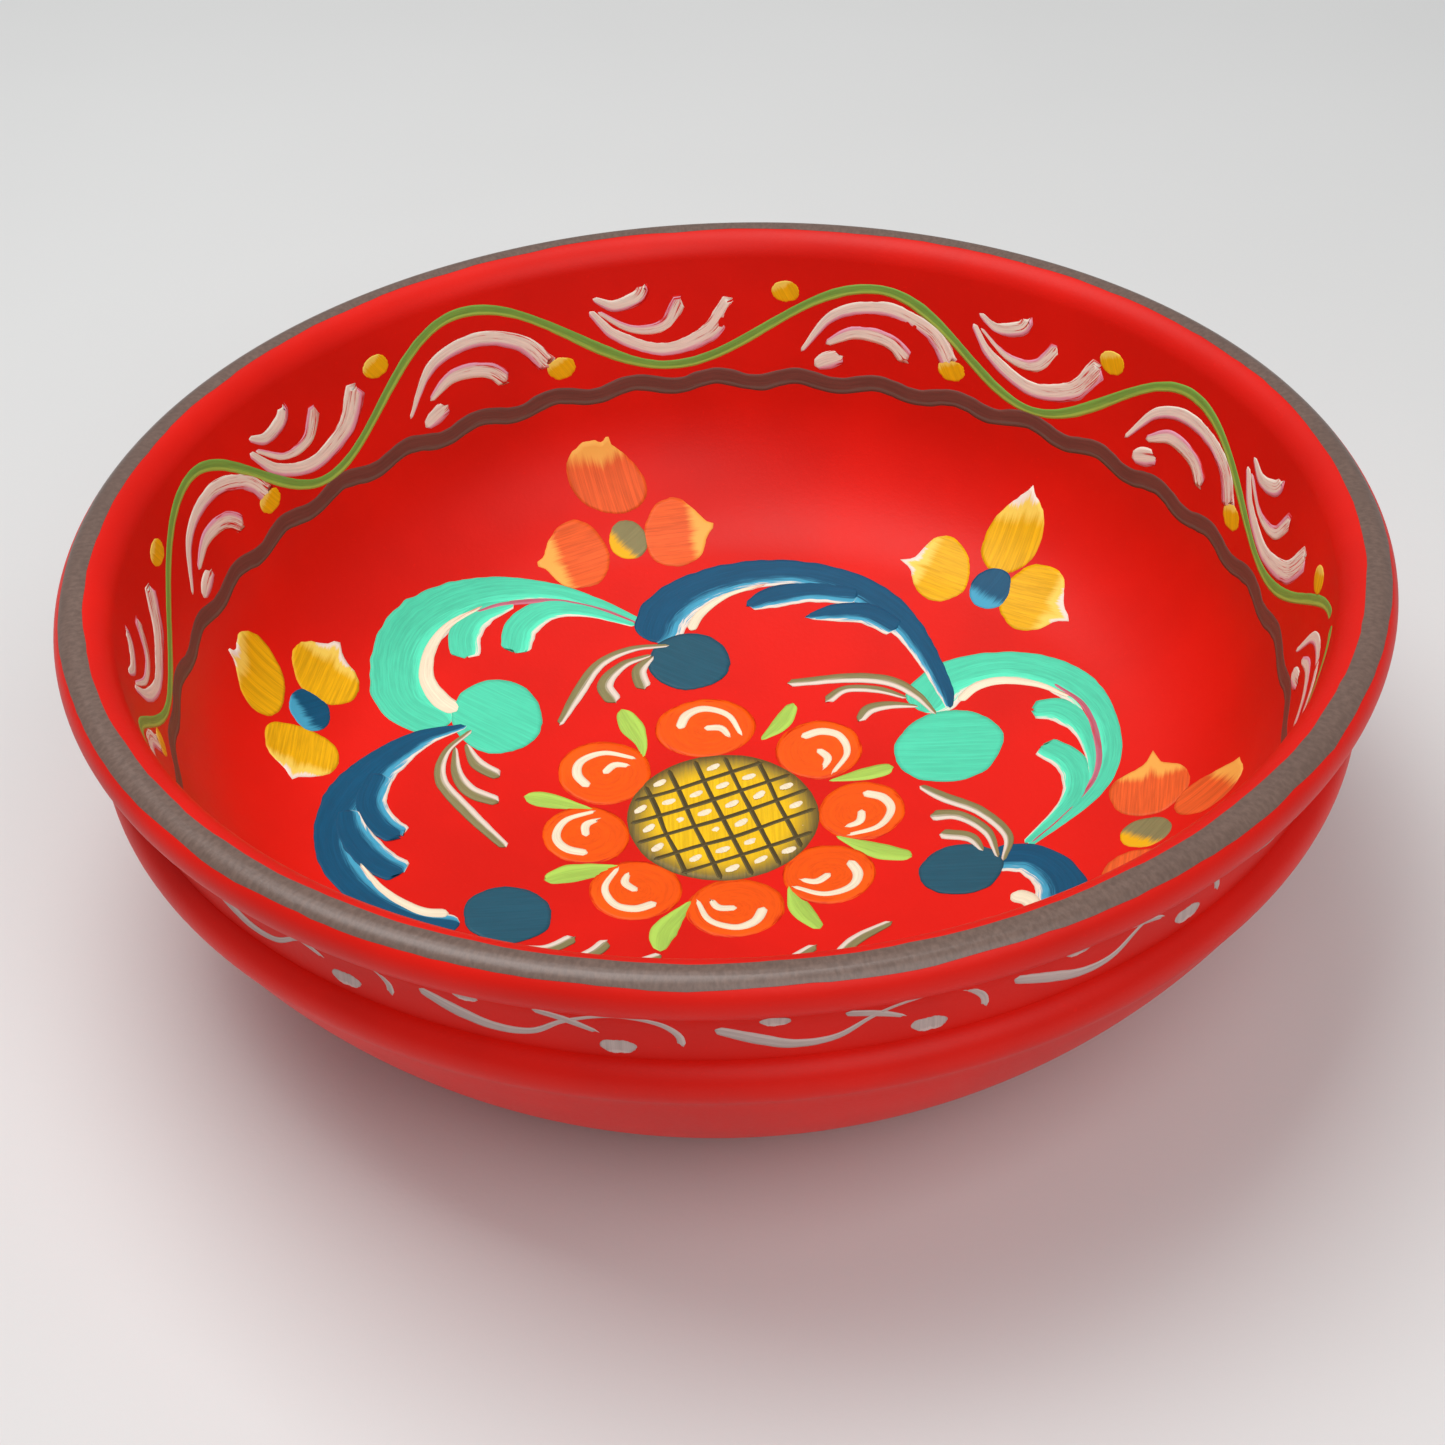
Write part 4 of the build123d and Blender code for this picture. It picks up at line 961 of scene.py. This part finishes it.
def round_the_axis():
    """Repeats a motif about the axis, at turns held by the points, each a little unlike."""
    nodes = Nodes("round_the_axis", [
        ("Motif", "NodeSocketObject"), ("Unsteady turn", "NodeSocketFloat"),
        ("Wander", "NodeSocketFloat"), ("Wander scale", "NodeSocketFloat"),
        ("Seed", "NodeSocketInt"), ("Material", "NodeSocketMaterial")])
    given = nodes.given
    motif = nodes.add("GeometryNodeObjectInfo", {}, {"Object": given["Motif"]})
    turn = nodes.add("GeometryNodeInputNamedAttribute", {"data_type": "FLOAT"}, {"Name": "turn"})
    spread = nodes.add("ShaderNodeMath", {"operation": "MULTIPLY"}, {0: given["Unsteady turn"], 1: -1.0})
    slip = nodes.add("FunctionNodeRandomValue", {"data_type": "FLOAT"}, {"Seed": given["Seed"]})
    nodes.tree.links.new(spread.outputs[0], slip.inputs[2])
    nodes.tree.links.new(given["Unsteady turn"], slip.inputs[3])
    total = nodes.add("ShaderNodeMath", {"operation": "ADD"},
                      {0: turn.outputs["Attribute"], 1: slip.outputs[1]})
    spin = nodes.add("ShaderNodeCombineXYZ", {}, {"Z": total.outputs[0]})
    copies = nodes.add("GeometryNodeInstanceOnPoints", {},
                       {"Points": given["Geometry"], "Instance": motif.outputs["Geometry"],
                        "Rotation": spin.outputs[0]})
    count = nodes.add("GeometryNodeInputIndex")
    marked = nodes.add("GeometryNodeStoreNamedAttribute", {"data_type": "FLOAT", "domain": "INSTANCE"},
                       {"Geometry": copies.outputs[0], "Name": "repeat", "Value": count.outputs[0]})
    real = nodes.add("GeometryNodeRealizeInstances", {}, {"Geometry": marked.outputs[0]})
    where = nodes.add("GeometryNodeInputPosition")
    drift = nodes.add("ShaderNodeTexNoise", {}, {"Vector": where.outputs[0],
                                                "Scale": given["Wander scale"], "Detail": 1.0})
    level = nodes.add("ShaderNodeVectorMath", {"operation": "SUBTRACT"},
                      {0: drift.outputs["Color"], 1: (0.5, 0.5, 0.5)})
    around = nodes.add("ShaderNodeVectorMath", {"operation": "CROSS_PRODUCT"},
                       {0: (0, 0, 1), 1: where.outputs[0]})
    unit = nodes.add("ShaderNodeVectorMath", {"operation": "NORMALIZE"}, {0: around.outputs[0]})
    parts = nodes.add("ShaderNodeSeparateXYZ", {}, {0: level.outputs[0]})
    along = nodes.add("ShaderNodeVectorMath", {"operation": "SCALE"}, {0: unit.outputs[0]})
    nodes.tree.links.new(parts.outputs["X"], along.inputs["Scale"])
    up = nodes.add("ShaderNodeCombineXYZ", {}, {"Z": parts.outputs["Y"]})
    both = nodes.add("ShaderNodeVectorMath", {"operation": "ADD"},
                     {0: along.outputs[0], 1: up.outputs[0]})
    shift = nodes.add("ShaderNodeVectorMath", {"operation": "SCALE"}, {0: both.outputs[0]})
    nodes.tree.links.new(given["Wander"], shift.inputs["Scale"])
    moved = nodes.add("GeometryNodeSetPosition", {},
                      {"Geometry": real.outputs[0], "Offset": shift.outputs[0]})
    nodes.end(moved.outputs[0])
    return nodes


def turns_mesh(name, angles):
    """A point on the axis for each turn, in degrees."""
    return places_mesh(name, [((0, 0, 0), angle) for angle in angles])


def places_mesh(name, places):
    """Points with a turn in degrees each."""
    mesh = bpy.data.meshes.new(name)
    mesh.from_pydata([tuple(point) for point, _ in places], [], [])
    mesh.attributes.new("turn", "FLOAT", "POINT").data.foreach_set(
        "value", [math.radians(angle) for _, angle in places])
    return mesh


def repeat(name, paint, places, material, unsteady, drift, seed):
    """A motif, painted once, repeated at places and returned as one mesh."""
    tree = round_the_axis()
    motif = bpy.data.objects.new(name + "_motif", paint.mesh(name + "_motif", [material]))
    values = {"Motif": motif, "Unsteady turn": math.radians(unsteady), "Wander": drift * MM,
              "Wander scale": 55.0, "Seed": seed, "Material": material}
    mesh = tree.run(places, values, name)
    bpy.data.objects.remove(motif)
    mesh.polygons.foreach_set("use_smooth", [True] * len(mesh.polygons))
    return mesh


# ---- operators ----

class BOWL_OT_turned_wood(bpy.types.Operator):
    """Turn the wooden bowl, with its foot left bare"""
    bl_idname = "bowl.turned_wood"
    bl_label = "Turned wood"

    def execute(self, context):
        recess = BASE - FOOT_RING
        foot = [(BASE, 0.0), (recess, 0.0), (recess - FOOT_RECESS, FOOT_RECESS), (0.0, FOOT_RECESS)]
        outline = (inside_outline(0) + band_outline(0, BAND_INNER, BAND_OUTER)[1:]
                   + outside_outline(0, FOOT_EDGE)[1:] + foot)
        mesh = lathe("turned_bowl", lambda turn: outline, turned_wood(), False)
        show("turned_bowl", mesh, "bare_wood")
        return {"FINISHED"}


class BOWL_OT_ground_coats(bpy.types.Operator):
    """Coat the inside and the outside red"""
    bl_idname = "bowl.ground_coats"
    bl_label = "Ground coats"

    def execute(self, context):
        red = ground_red("red_ground")
        over, under = inside_outline(COAT), inside_outline(0)
        lap_in = arc(LIP_IN, LIP_INNER + COAT * LAP, 90 + BAND_INNER, 90, 5)[1:3]
        lap_under = arc(LIP_IN, LIP_INNER, 90 + BAND_INNER, 90, 5)[1:3]
        inner = over + lap_in + lap_under[::-1] + under[::-1]
        mesh = lathe("ground_coat_inside", lambda turn: inner, red, False)
        show("ground_coat_inside", mesh, "red_ground")
        over, under = outside_outline(COAT, BARE_FOOT), outside_outline(0, BARE_FOOT)
        lap_in = arc(LIP_OUT, LIP_OUTER + COAT * LAP, LAP_START, 90 - BAND_OUTER, 4)[:-1]
        lap_under = arc(LIP_OUT, LIP_OUTER, LAP_START, 90 - BAND_OUTER, 4)[:-1]
        outer = lap_in + over + under[::-1] + lap_under[::-1]
        mesh = lathe("ground_coat_outside", lambda turn: outer, red, True)
        show("ground_coat_outside", mesh, "red_ground")
        return {"FINISHED"}


def rim_outline(turn):
    """Section of the brown band, whose edges wander a little with the turn."""
    way = math.radians(turn)
    x, y = math.cos(way), math.sin(way)
    inner, outer = (edge + sum(size * wander(x * pitch, y * pitch, seed)
                               for size, pitch, seed in sway)
                    for edge, sway in ((BAND_INNER, BAND_INNER_SWAY), (BAND_OUTER, BAND_OUTER_SWAY)))
    over = []
    for centre, radius, start, stop, pieces in (
            (LIP_IN, LIP_INNER, 90 + inner, 90, 8), (LIP_OUT, LIP_OUTER, 90, 90 - outer, 14)):
        for i in range(pieces + 1):
            angle = start + (stop - start) * i / pieces
            clear = min(1.0, max(0.0, (abs(angle - 90) - WORN) / WORN_OVER))
            over.append(on_circle(centre, radius + COAT + BAND_PAINT * clear, angle))
    under = band_outline(BAND_BITE, inner, outer)
    return over + under[::-1]


class BOWL_OT_rim_band(bpy.types.Operator):
    """Drag a thin brown band round the crest of the lip"""
    bl_idname = "bowl.rim_band"
    bl_label = "Rim band"

    def execute(self, context):
        mesh = lathe("rim_band", rim_outline, rim_brown(), True)
        show("rim_band", mesh, "brown_band")
        return {"FINISHED"}


def vine_climb(angle):
    """How far up the wall the vine runs at an angle."""
    for (a, low), (b, high) in zip(VINE_BENDS, VINE_BENDS[1:]):
        if a <= angle <= b:
            return low + (1 - math.cos(math.pi * (angle - a) / (b - a))) / 2 * (high - low)
    return VINE_BENDS[0][1]


class BOWL_OT_wall_border(bpy.types.Operator):
    """Paint the border on the inner wall: wavy line, vine, leaves and buds"""
    bl_idname = "bowl.wall_border"
    bl_label = "Wall border"

    def execute(self, context):
        paints = context.scene.bowl_colours
        line = Paint()
        ripple = [(angle / 2, WAVY_CLIMB + RIPPLE_HEIGHT * math.cos(math.radians(RIPPLES * angle / 2))
                   + 0.25 * wander(angle * 0.11, 4, 4), WAVY_HALF * (1 + 0.12 * wander(angle * 0.2, 1, 1)))
                  for angle in range(0, 725, 4)]
        line.stroke(round_wall(ripple), on_wall, 1, load=(0.75, 0.75), caps=(1, 1), ragged=0.2)
        material = brushed("wavy_line", paints.line, tint(paints.band, 1.1), 0.22, thin=0.3, streak=0.7)
        show("wavy_line", line.mesh("wavy_line", [material]), "brown_line")

        vine = Paint()
        start, stop = VINE_ENDS
        count = 240
        angles = [start + (stop - start) * i / count for i in range(count + 1)]
        points = [(a, vine_climb(a), VINE_HALF * (1 + 0.28 * wander(a * 0.13, 7, 1)))
                  for a in angles]
        vine.stroke(round_wall(points), on_wall, 2, lift=0.02, load=(0.8, 0.75), ragged=0.4)
        material = brushed("vine_green", paints.vine, paints.leaf, 0.3, thin=0.25, streak=0.6)
        show("border_vine", vine.mesh("border_vine", [material]), "vine_green")

        white = brushed("white_paint", paints.white, paints.blush, 0.22, thin=0.2, streak=1.3)
        for name, strokes, bends in (("crest_leaves", CREST_LEAVES, CREST_ANGLES),
                                     ("trough_leaves", TROUGH_LEAVES, TROUGH_ANGLES)):
            leaves = Paint()
            for i, points in enumerate(strokes):
                leaves.stroke(round_wall(points), on_wall, 10 + i, lift=0.04 + 0.01 * i,
                              side="right" if i % 2 else "left", load=(0.7, 0.22), caps=(0.4, 0.3),
                              ragged=1.2)
            mesh = repeat(name, leaves, turns_mesh(name, bends), white, 0.7, 1.2, len(name))
            show(name, mesh, "white_paint")

        yellow = brushed("yellow_buds", paints.yellow, paints.butter, 0.25, thin=0.15)
        meshes = []
        for name, (turn, climb), seed, places_seed in (("low", BUDS[0], 3, 4),
                                                       ("high", BUDS[1], 5, 5)):
            bud = Paint()
            bud.blob(0, climb, BUD_RADII, on_wall, seed, light=60, lift=0.05, wobble=0.12, thick=1.2)
            places = turns_mesh(name, [angle + turn for angle in CREST_ANGLES])
            meshes.append(repeat("buds_" + name, bud, places, yellow, 1.2, 1.5,
                                 places_seed))
        show("vine_buds", joined("vine_buds", meshes), "yellow_paint")
        return {"FINISHED"}


def joined(name, meshes):
    """Several meshes of one material as one mesh."""
    work = bmesh.new()
    for mesh in meshes:
        work.from_mesh(mesh)
    out = bpy.data.meshes.new(name)
    work.to_mesh(out)
    work.free()
    out.materials.append(meshes[0].materials[0])
    return out


class BOWL_OT_scrollwork(bpy.types.Operator):
    """Paint the scrolls, their round roots and the thin tendrils"""
    bl_idname = "bowl.scrollwork"
    bl_label = "Scrollwork"

    def execute(self, context):
        paints = context.scene.bowl_colours
        tendrils = Paint()
        for i, points in enumerate(TENDRILS):
            tendrils.stroke(points, on_floor, 30 + i, side="left", lift=0.6, load=(0.45, 0.9),
                            caps=(0.5, 0.8), ragged=0.5)
        olive = brushed("olive_paint", paints.olive, tint(paints.white, 0.9), 0.36, thin=0.35,
                        streak=0.8)
        show("olive_tendrils", tendrils.mesh("olive_tendrils", [olive]), "olive_paint")

        cream = brushed("cream_edge", paints.cream, tint(paints.cream, 0.9), 0.2, thin=0.45, streak=0.8)
        pink = brushed("pink_streak", paints.pink, tint(paints.pink, 1.3), 0.3, thin=0.5, streak=1.0)
        rows = (("teal", TEAL_SCROLLS, TEAL_ROOTS, PINK_STREAKS, paints.teal, tint(paints.teal, 1.25),
                 paints.teal, 0.0),
                ("blue", BLUE_SCROLLS, BLUE_ROOTS, [], paints.blue, paints.sky, paints.deep, 0.3))
        for name, scrolls, roots, streaks, body, second, root_body, base in rows:
            scroll = Paint()
            for i, (points, side) in enumerate(scrolls):
                if i % 3 == 0:
                    scroll.stroke(points, on_floor, 60 + i + len(name) * base, side=side, lift=base,
                                  load=(1.0, 0.5), caps=(0.8, 0.4), ragged=0.8)
                else:
                    scroll.stroke(points, on_floor, 60 + i, side=side, lift=base + 0.05 * (i % 3),
                                  load=(0.8, 0.75), caps=(0.4, 0.35), ragged=0.7)
            for i, points in enumerate(CREAM_EDGES):
                if i % 2 == (0 if name == "teal" else 1):
                    scroll.stroke(points, on_floor, 90 + i, side="left", lift=base + 0.14, slot=1,
                                  load=(1.0, 0.35), caps=(1.0, 0.4), ragged=0.9)
            for i, points in enumerate(streaks):
                scroll.stroke(points, on_floor, 97 + i, lift=base + 0.08, slot=2, load=(0.5, 0.5),
                              caps=(1.0, 0.4), ragged=0.9)
            material = brushed(name + "_paint", body, second, 0.26, glint=paints.white, thin=0.25,
                               streak=0.7)
            node = name + "_scrolls"
            show(node, scroll.mesh(node, [material, cream, pink]), name + "_paint")

            balls = Paint()
            for i, root in enumerate(roots):
                balls.blob(root[0], root[1], root[2:], on_floor, 40 + i, light=150 + 20 * i,
                           lift=base + 0.2, wobble=0.05)
            material = brushed(name + "_ball", root_body, thin=0.1, streak=0.4, shade=0.88)
            node = name + "_scroll_roots"
            show(node, balls.mesh(node, [material]), name + "_paint")
        return {"FINISHED"}


class BOWL_OT_tulips(bpy.types.Operator):
    """Paint the three orange and three yellow tulips"""
    bl_idname = "bowl.tulips"
    bl_label = "Tulips"

    def execute(self, context):
        paints = context.scene.bowl_colours
        rows = (("orange", ORANGE_TULIPS, paints.coral, paints.apricot, None, paints.olive,
                 paints.yellow, "olive_paint"),
                ("yellow", YELLOW_TULIPS, paints.yellow, paints.butter, paints.white, paints.blue,
                 paints.sky, "blue_paint"))
        for name, tulips, body, second, glint, heart_body, heart_light, heart_slot in rows:
            petals, hearts = Paint(), Paint()
            for t, (heart, shapes) in enumerate(tulips):
                for i, (x, y, wide, tall, tip_x, tip_y) in enumerate(shapes):
                    away = math.degrees(math.atan2(y - heart[1], x - heart[0]))
                    petals.blob(x, y, (wide, tall), on_floor, 7 * t + i, tip=(tip_x, tip_y),
                                light=away, lift=0.05 * i, wobble=0.06, dry=0.45)
                hearts.blob(heart[0], heart[1], heart[2:], on_floor, 20 + t, light=225, lift=0.1,
                            thick=1.2, wobble=0.05)
            material = brushed(name + "_petals", body, second, 0.22, glint=glint, thin=0.2, streak=0.6,
                               shade=0.74, fray=0.3)
            node = name + "_tulip_petals"
            show(node, petals.mesh(node, [material]), name + "_paint")
            material = brushed(name + "_hearts", heart_body, heart_light, 0.3, thin=0.1)
            node = name + "_tulip_hearts"
            show(node, hearts.mesh(node, [material]), heart_slot)
        return {"FINISHED"}


def on_petal(index, points):
    """Points given on a petal of the middle flower, moved to their place."""
    turn = math.radians(PETAL_ANGLES[index])
    moved = []
    for out, side, half in points:
        reach = PETAL_REACH + out
        moved.append((FLOWER[0] + reach * math.cos(turn) - side * math.sin(turn),
                      FLOWER[1] + reach * math.sin(turn) + side * math.cos(turn), half))
    return moved


def seed_places(lift):
    """A place in each cell of the flower's lattice."""
    steep, shallow = (math.radians(angle) for angle in LATTICE_ANGLES)
    pitch = LATTICE_PITCH / math.sin(shallow - steep)
    places = []
    for i in range(-2, 4):
        for j in range(-2, 4):
            a, b = (i - 0.5) * pitch, (j - 0.5) * pitch
            x = a * math.cos(steep) + b * math.cos(shallow)
            y = a * math.sin(steep) + b * math.sin(shallow)
            if math.hypot(x, y) < DISC - SEED_INSET:
                places.append((on_floor(FLOWER[0] + x, FLOWER[1] + y, lift), SEED_TURN))
    return places


class BOWL_OT_middle_flower(bpy.types.Operator):
    """Paint the flower in the middle of the floor"""
    bl_idname = "bowl.middle_flower"
    bl_label = "Middle flower"

    def execute(self, context):
        paints = context.scene.bowl_colours
        leaves = Paint()
        for i, points in enumerate(FLOWER_LEAVES):
            leaves.stroke(points[::-1] if math.dist(points[0][:2], FLOWER) > 36 else points,
                          on_floor, 130 + i, lift=0.0, load=(0.6, 1.0), caps=(0.3, 1.0), ragged=0.2)
        green = brushed("leaf_green", paints.leaf, tint(paints.leaf, 1.15), 0.3, thin=0.3, streak=0.7,
                        shade=0.86)
        show("flower_leaves", leaves.mesh("flower_leaves", [green]), "leaf_green")

        petals = Paint()
        for i, radii in enumerate(PETAL_RADII):
            (x, y, _), = on_petal(i, [(0, 0, 0)])
            petals.blob(x, y, radii, on_floor, 150 + i, turn=PETAL_ANGLES[i], light=PETAL_ANGLES[i],
                        lift=0.05 + 0.05 * (i % 2), wobble=0.035, rings_of_paint=True,
                        dry=0.75)
        orange = brushed("orange_petals", paints.orange, tint(paints.orange, 1.15), 0.2, thin=0.3,
                         streak=0.8, shade=0.86)
        show("flower_petals", petals.mesh("flower_petals", [orange]), "orange_paint")

        shine = Paint()
        for i in range(len(PETAL_ANGLES)):
            for k, points in enumerate(PETAL_SHINE):
                shine.stroke(on_petal(i, points), on_floor, 170 + 2 * i + k, lift=0.32,
                             load=(1.0, 0.45), caps=(1.0, 0.4))
        cream = brushed("petal_cream", paints.cream, tint(paints.cream, 0.9), 0.2, thin=0.2)
        show("petal_highlights", shine.mesh("petal_highlights", [cream]), "cream_paint")

        disc = Paint()
        disc.blob(*FLOWER, (DISC, DISC), on_floor, 200, lift=0.15, wobble=0.015,
                  radial=True)
        show("flower_disc", disc.mesh("flower_disc", [disc_gold()]), "gold_paint")

        bars = Paint()
        for d, direction in enumerate(LATTICE_ANGLES):
            way = math.radians(direction)
            for i in range(LATTICE_LINES):
                shift = (i - (LATTICE_LINES - 1) / 2) * LATTICE_PITCH
                reach = math.sqrt((DISC - LATTICE_INSET) ** 2 - shift ** 2)
                points = []
                for k in range(5):
                    along = reach * (k / 2 - 1)
                    off = shift + 0.5 * wander(k * 0.7, i * 3.1, d * 5)
                    points.append((FLOWER[0] + along * math.cos(way) - off * math.sin(way),
                                   FLOWER[1] + along * math.sin(way) + off * math.cos(way),
                                   LATTICE_HALF * (1 + 0.3 * wander(k * 1.3, i, d + 9))))
                bars.stroke(points, on_floor, 210 + 5 * d + i, lift=0.4 + 0.05 * d, thick=0.8,
                            load=(0.9, 0.7), caps=(1, 1), ragged=0.4)
        dark = brushed("dark_paint", tint(paints.umber, 0.75), tint(paints.umber, 1.3), 0.25, thin=0.0)
        show("disc_lattice", bars.mesh("disc_lattice", [dark]), "dark_paint")

        mark = Paint()
        mark.blob(0, 0, SEED_RADII, lambda x, y, lift: Vector((x, y, lift)) * MM, 3, lift=0.0,
                  thick=1.1, wobble=0.15)
        cream = brushed("seed_cream", paints.cream, tint(paints.cream, 0.85), 0.2, thin=0.0)
        mesh = repeat("disc_seeds", mark, places_mesh("cells", seed_places(SEED_LIFT)), cream, 14, 1.0, 6)
        show("disc_seeds", mesh, "cream_paint")
        return {"FINISHED"}


class BOWL_OT_cove_ornament(bpy.types.Operator):
    """Paint the repeating ornament in the cove outside"""
    bl_idname = "bowl.cove_ornament"
    bl_label = "Cove ornament"

    def execute(self, context):
        chalk = context.scene.bowl_colours.chalk
        turns = [COVE_START + 360 * i / COVE_REPEATS for i in range(COVE_REPEATS)]
        material = brushed("grey_white", chalk, tint(chalk, 1.2), 0.25, thin=0.35, streak=0.7)
        scroll = Paint()
        scroll.stroke(round_cove(COVE_SCROLL), on_cove, 240, load=(1.0, 0.6), caps=(1, 0.6))
        scroll.stroke(round_cove(COVE_DASH), on_cove, 241, load=(1.0, 0.5), lift=0.02)
        mesh = repeat("cove_scrollwork", scroll, turns_mesh("cove", turns), material, 0.5, 1.4, 7)
        show("cove_scrollwork", mesh, "grey_white_paint")
        dots = Paint()
        for i, (angle, drop, wide, tall) in enumerate(COVE_DOTS):
            run = math.radians(angle) * COVE_WALL
            dots.blob(run, drop, (wide, tall), on_cove, 250 + i, lift=0.0, thick=1.3, wobble=0.15)
        mesh = repeat("cove_dots", dots, turns_mesh("dots", turns), material, 0.5, 1.4, 8)
        show("cove_dots", mesh, "grey_white_paint")
        return {"FINISHED"}


# The studio, in metres.
FLOOR_HALF = 3.0
KEY_SIZE, KEY_PLACE = 0.9, (-0.3, 0.2, 1.3)
FILL_SIZE, FILL_PLACE = 1.1, (0.4, -0.9, 1.15)
LIT_POINT = (0, 0, 0.04)
SKY_COLOUR = (0.95, 0.97, 1.0, 1)
SENSOR = 36                 # mm


def soft_light(name, size, power, place, target):
    """A square area light at a place, facing a target."""
    data = bpy.data.lights.new(name, "AREA")
    data.size = size
    data.energy = power
    lamp = bpy.data.objects.new(name, data)
    bpy.context.scene.collection.objects.link(lamp)
    lamp.location = place
    lamp.rotation_euler = (Vector(target) - Vector(place)).to_track_quat("-Z", "Y").to_euler()


class BOWL_OT_studio(bpy.types.Operator):
    """Set the floor, the light and the camera"""
    bl_idname = "bowl.studio"
    bl_label = "Studio"

    def execute(self, context):
        scene = context.scene
        studio = scene.bowl_studio
        mesh = bpy.data.meshes.new("studio_floor")
        reach = FLOOR_HALF
        mesh.from_pydata([(-reach, -reach, 0), (reach, -reach, 0), (reach, reach, 0),
                          (-reach, reach, 0)], [], [(0, 1, 2, 3)])
        mesh.materials.append(plain_floor())
        floor = bpy.data.objects.new("studio_floor", mesh)
        scene.collection.objects.link(floor)
        soft_light("key", KEY_SIZE, studio.key, KEY_PLACE, LIT_POINT)
        soft_light("fill", FILL_SIZE, studio.fill, FILL_PLACE, LIT_POINT)
        world = bpy.data.worlds.new("studio_sky")
        world.use_nodes = True
        sky = next(n for n in world.node_tree.nodes if n.type == "BACKGROUND")
        sky.inputs["Color"].default_value = SKY_COLOUR
        sky.inputs["Strength"].default_value = studio.sky
        scene.world = world
        scene.view_settings.view_transform = "Standard"
        camera = bpy.data.objects.new("camera", bpy.data.cameras.new("camera"))
        camera.data.lens = studio.lens
        camera.data.sensor_width = SENSOR
        camera.data.dof.use_dof = False
        scene.collection.objects.link(camera)
        ahead = Vector((math.sin(studio.yaw) * math.cos(studio.pitch),
                        math.cos(studio.yaw) * math.cos(studio.pitch), -math.sin(studio.pitch)))
        level = Vector((math.cos(studio.yaw), -math.sin(studio.yaw), 0))
        upright = level.cross(ahead)
        across = level * math.cos(studio.roll) + upright * math.sin(studio.roll)
        up = upright * math.cos(studio.roll) - level * math.sin(studio.roll)
        turn = Matrix((across, up, -ahead)).transposed()
        place = Matrix.Translation((0, -studio.distance, studio.camera_height))
        camera.matrix_world = place @ turn.to_4x4()
        scene.camera = camera
        return {"FINISHED"}


STEPS = ("turned_wood", "ground_coats", "rim_band", "wall_border", "scrollwork", "tulips",
         "middle_flower", "cove_ornament", "studio")


class VIEW3D_PT_bowl(bpy.types.Panel):
    """Lists the steps that build the bowl, with its colours and settings"""
    bl_idname = "VIEW3D_PT_bowl"
    bl_label = "Painted bowl"
    bl_space_type = "VIEW_3D"
    bl_region_type = "UI"
    bl_category = "Bowl"

    def draw(self, context):
        for step in STEPS:
            self.layout.operator("bowl." + step)
        for group in ("bowl_colours", "bowl_brush", "bowl_studio"):
            settings = getattr(context.scene, group)
            box = self.layout.box()
            for key in settings.__annotations__:
                box.prop(settings, key)


CLASSES = (BowlColours, BrushSettings, StudioSettings, BOWL_OT_turned_wood, BOWL_OT_ground_coats,
           BOWL_OT_rim_band, BOWL_OT_wall_border, BOWL_OT_scrollwork, BOWL_OT_tulips,
           BOWL_OT_middle_flower, BOWL_OT_cove_ornament, BOWL_OT_studio, VIEW3D_PT_bowl)


def register():
    for made in CLASSES:
        bpy.utils.register_class(made)
    bpy.types.Scene.bowl_colours = bpy.props.PointerProperty(type=BowlColours)
    bpy.types.Scene.bowl_brush = bpy.props.PointerProperty(type=BrushSettings)
    bpy.types.Scene.bowl_studio = bpy.props.PointerProperty(type=StudioSettings)


def unregister():
    for key in ("bowl_colours", "bowl_brush", "bowl_studio"):
        delattr(bpy.types.Scene, key)
    for made in reversed(CLASSES):
        bpy.utils.unregister_class(made)


def main():
    register()
    for step in STEPS:
        getattr(bpy.ops.bowl, step)()


if __name__ == "__main__":
    main()
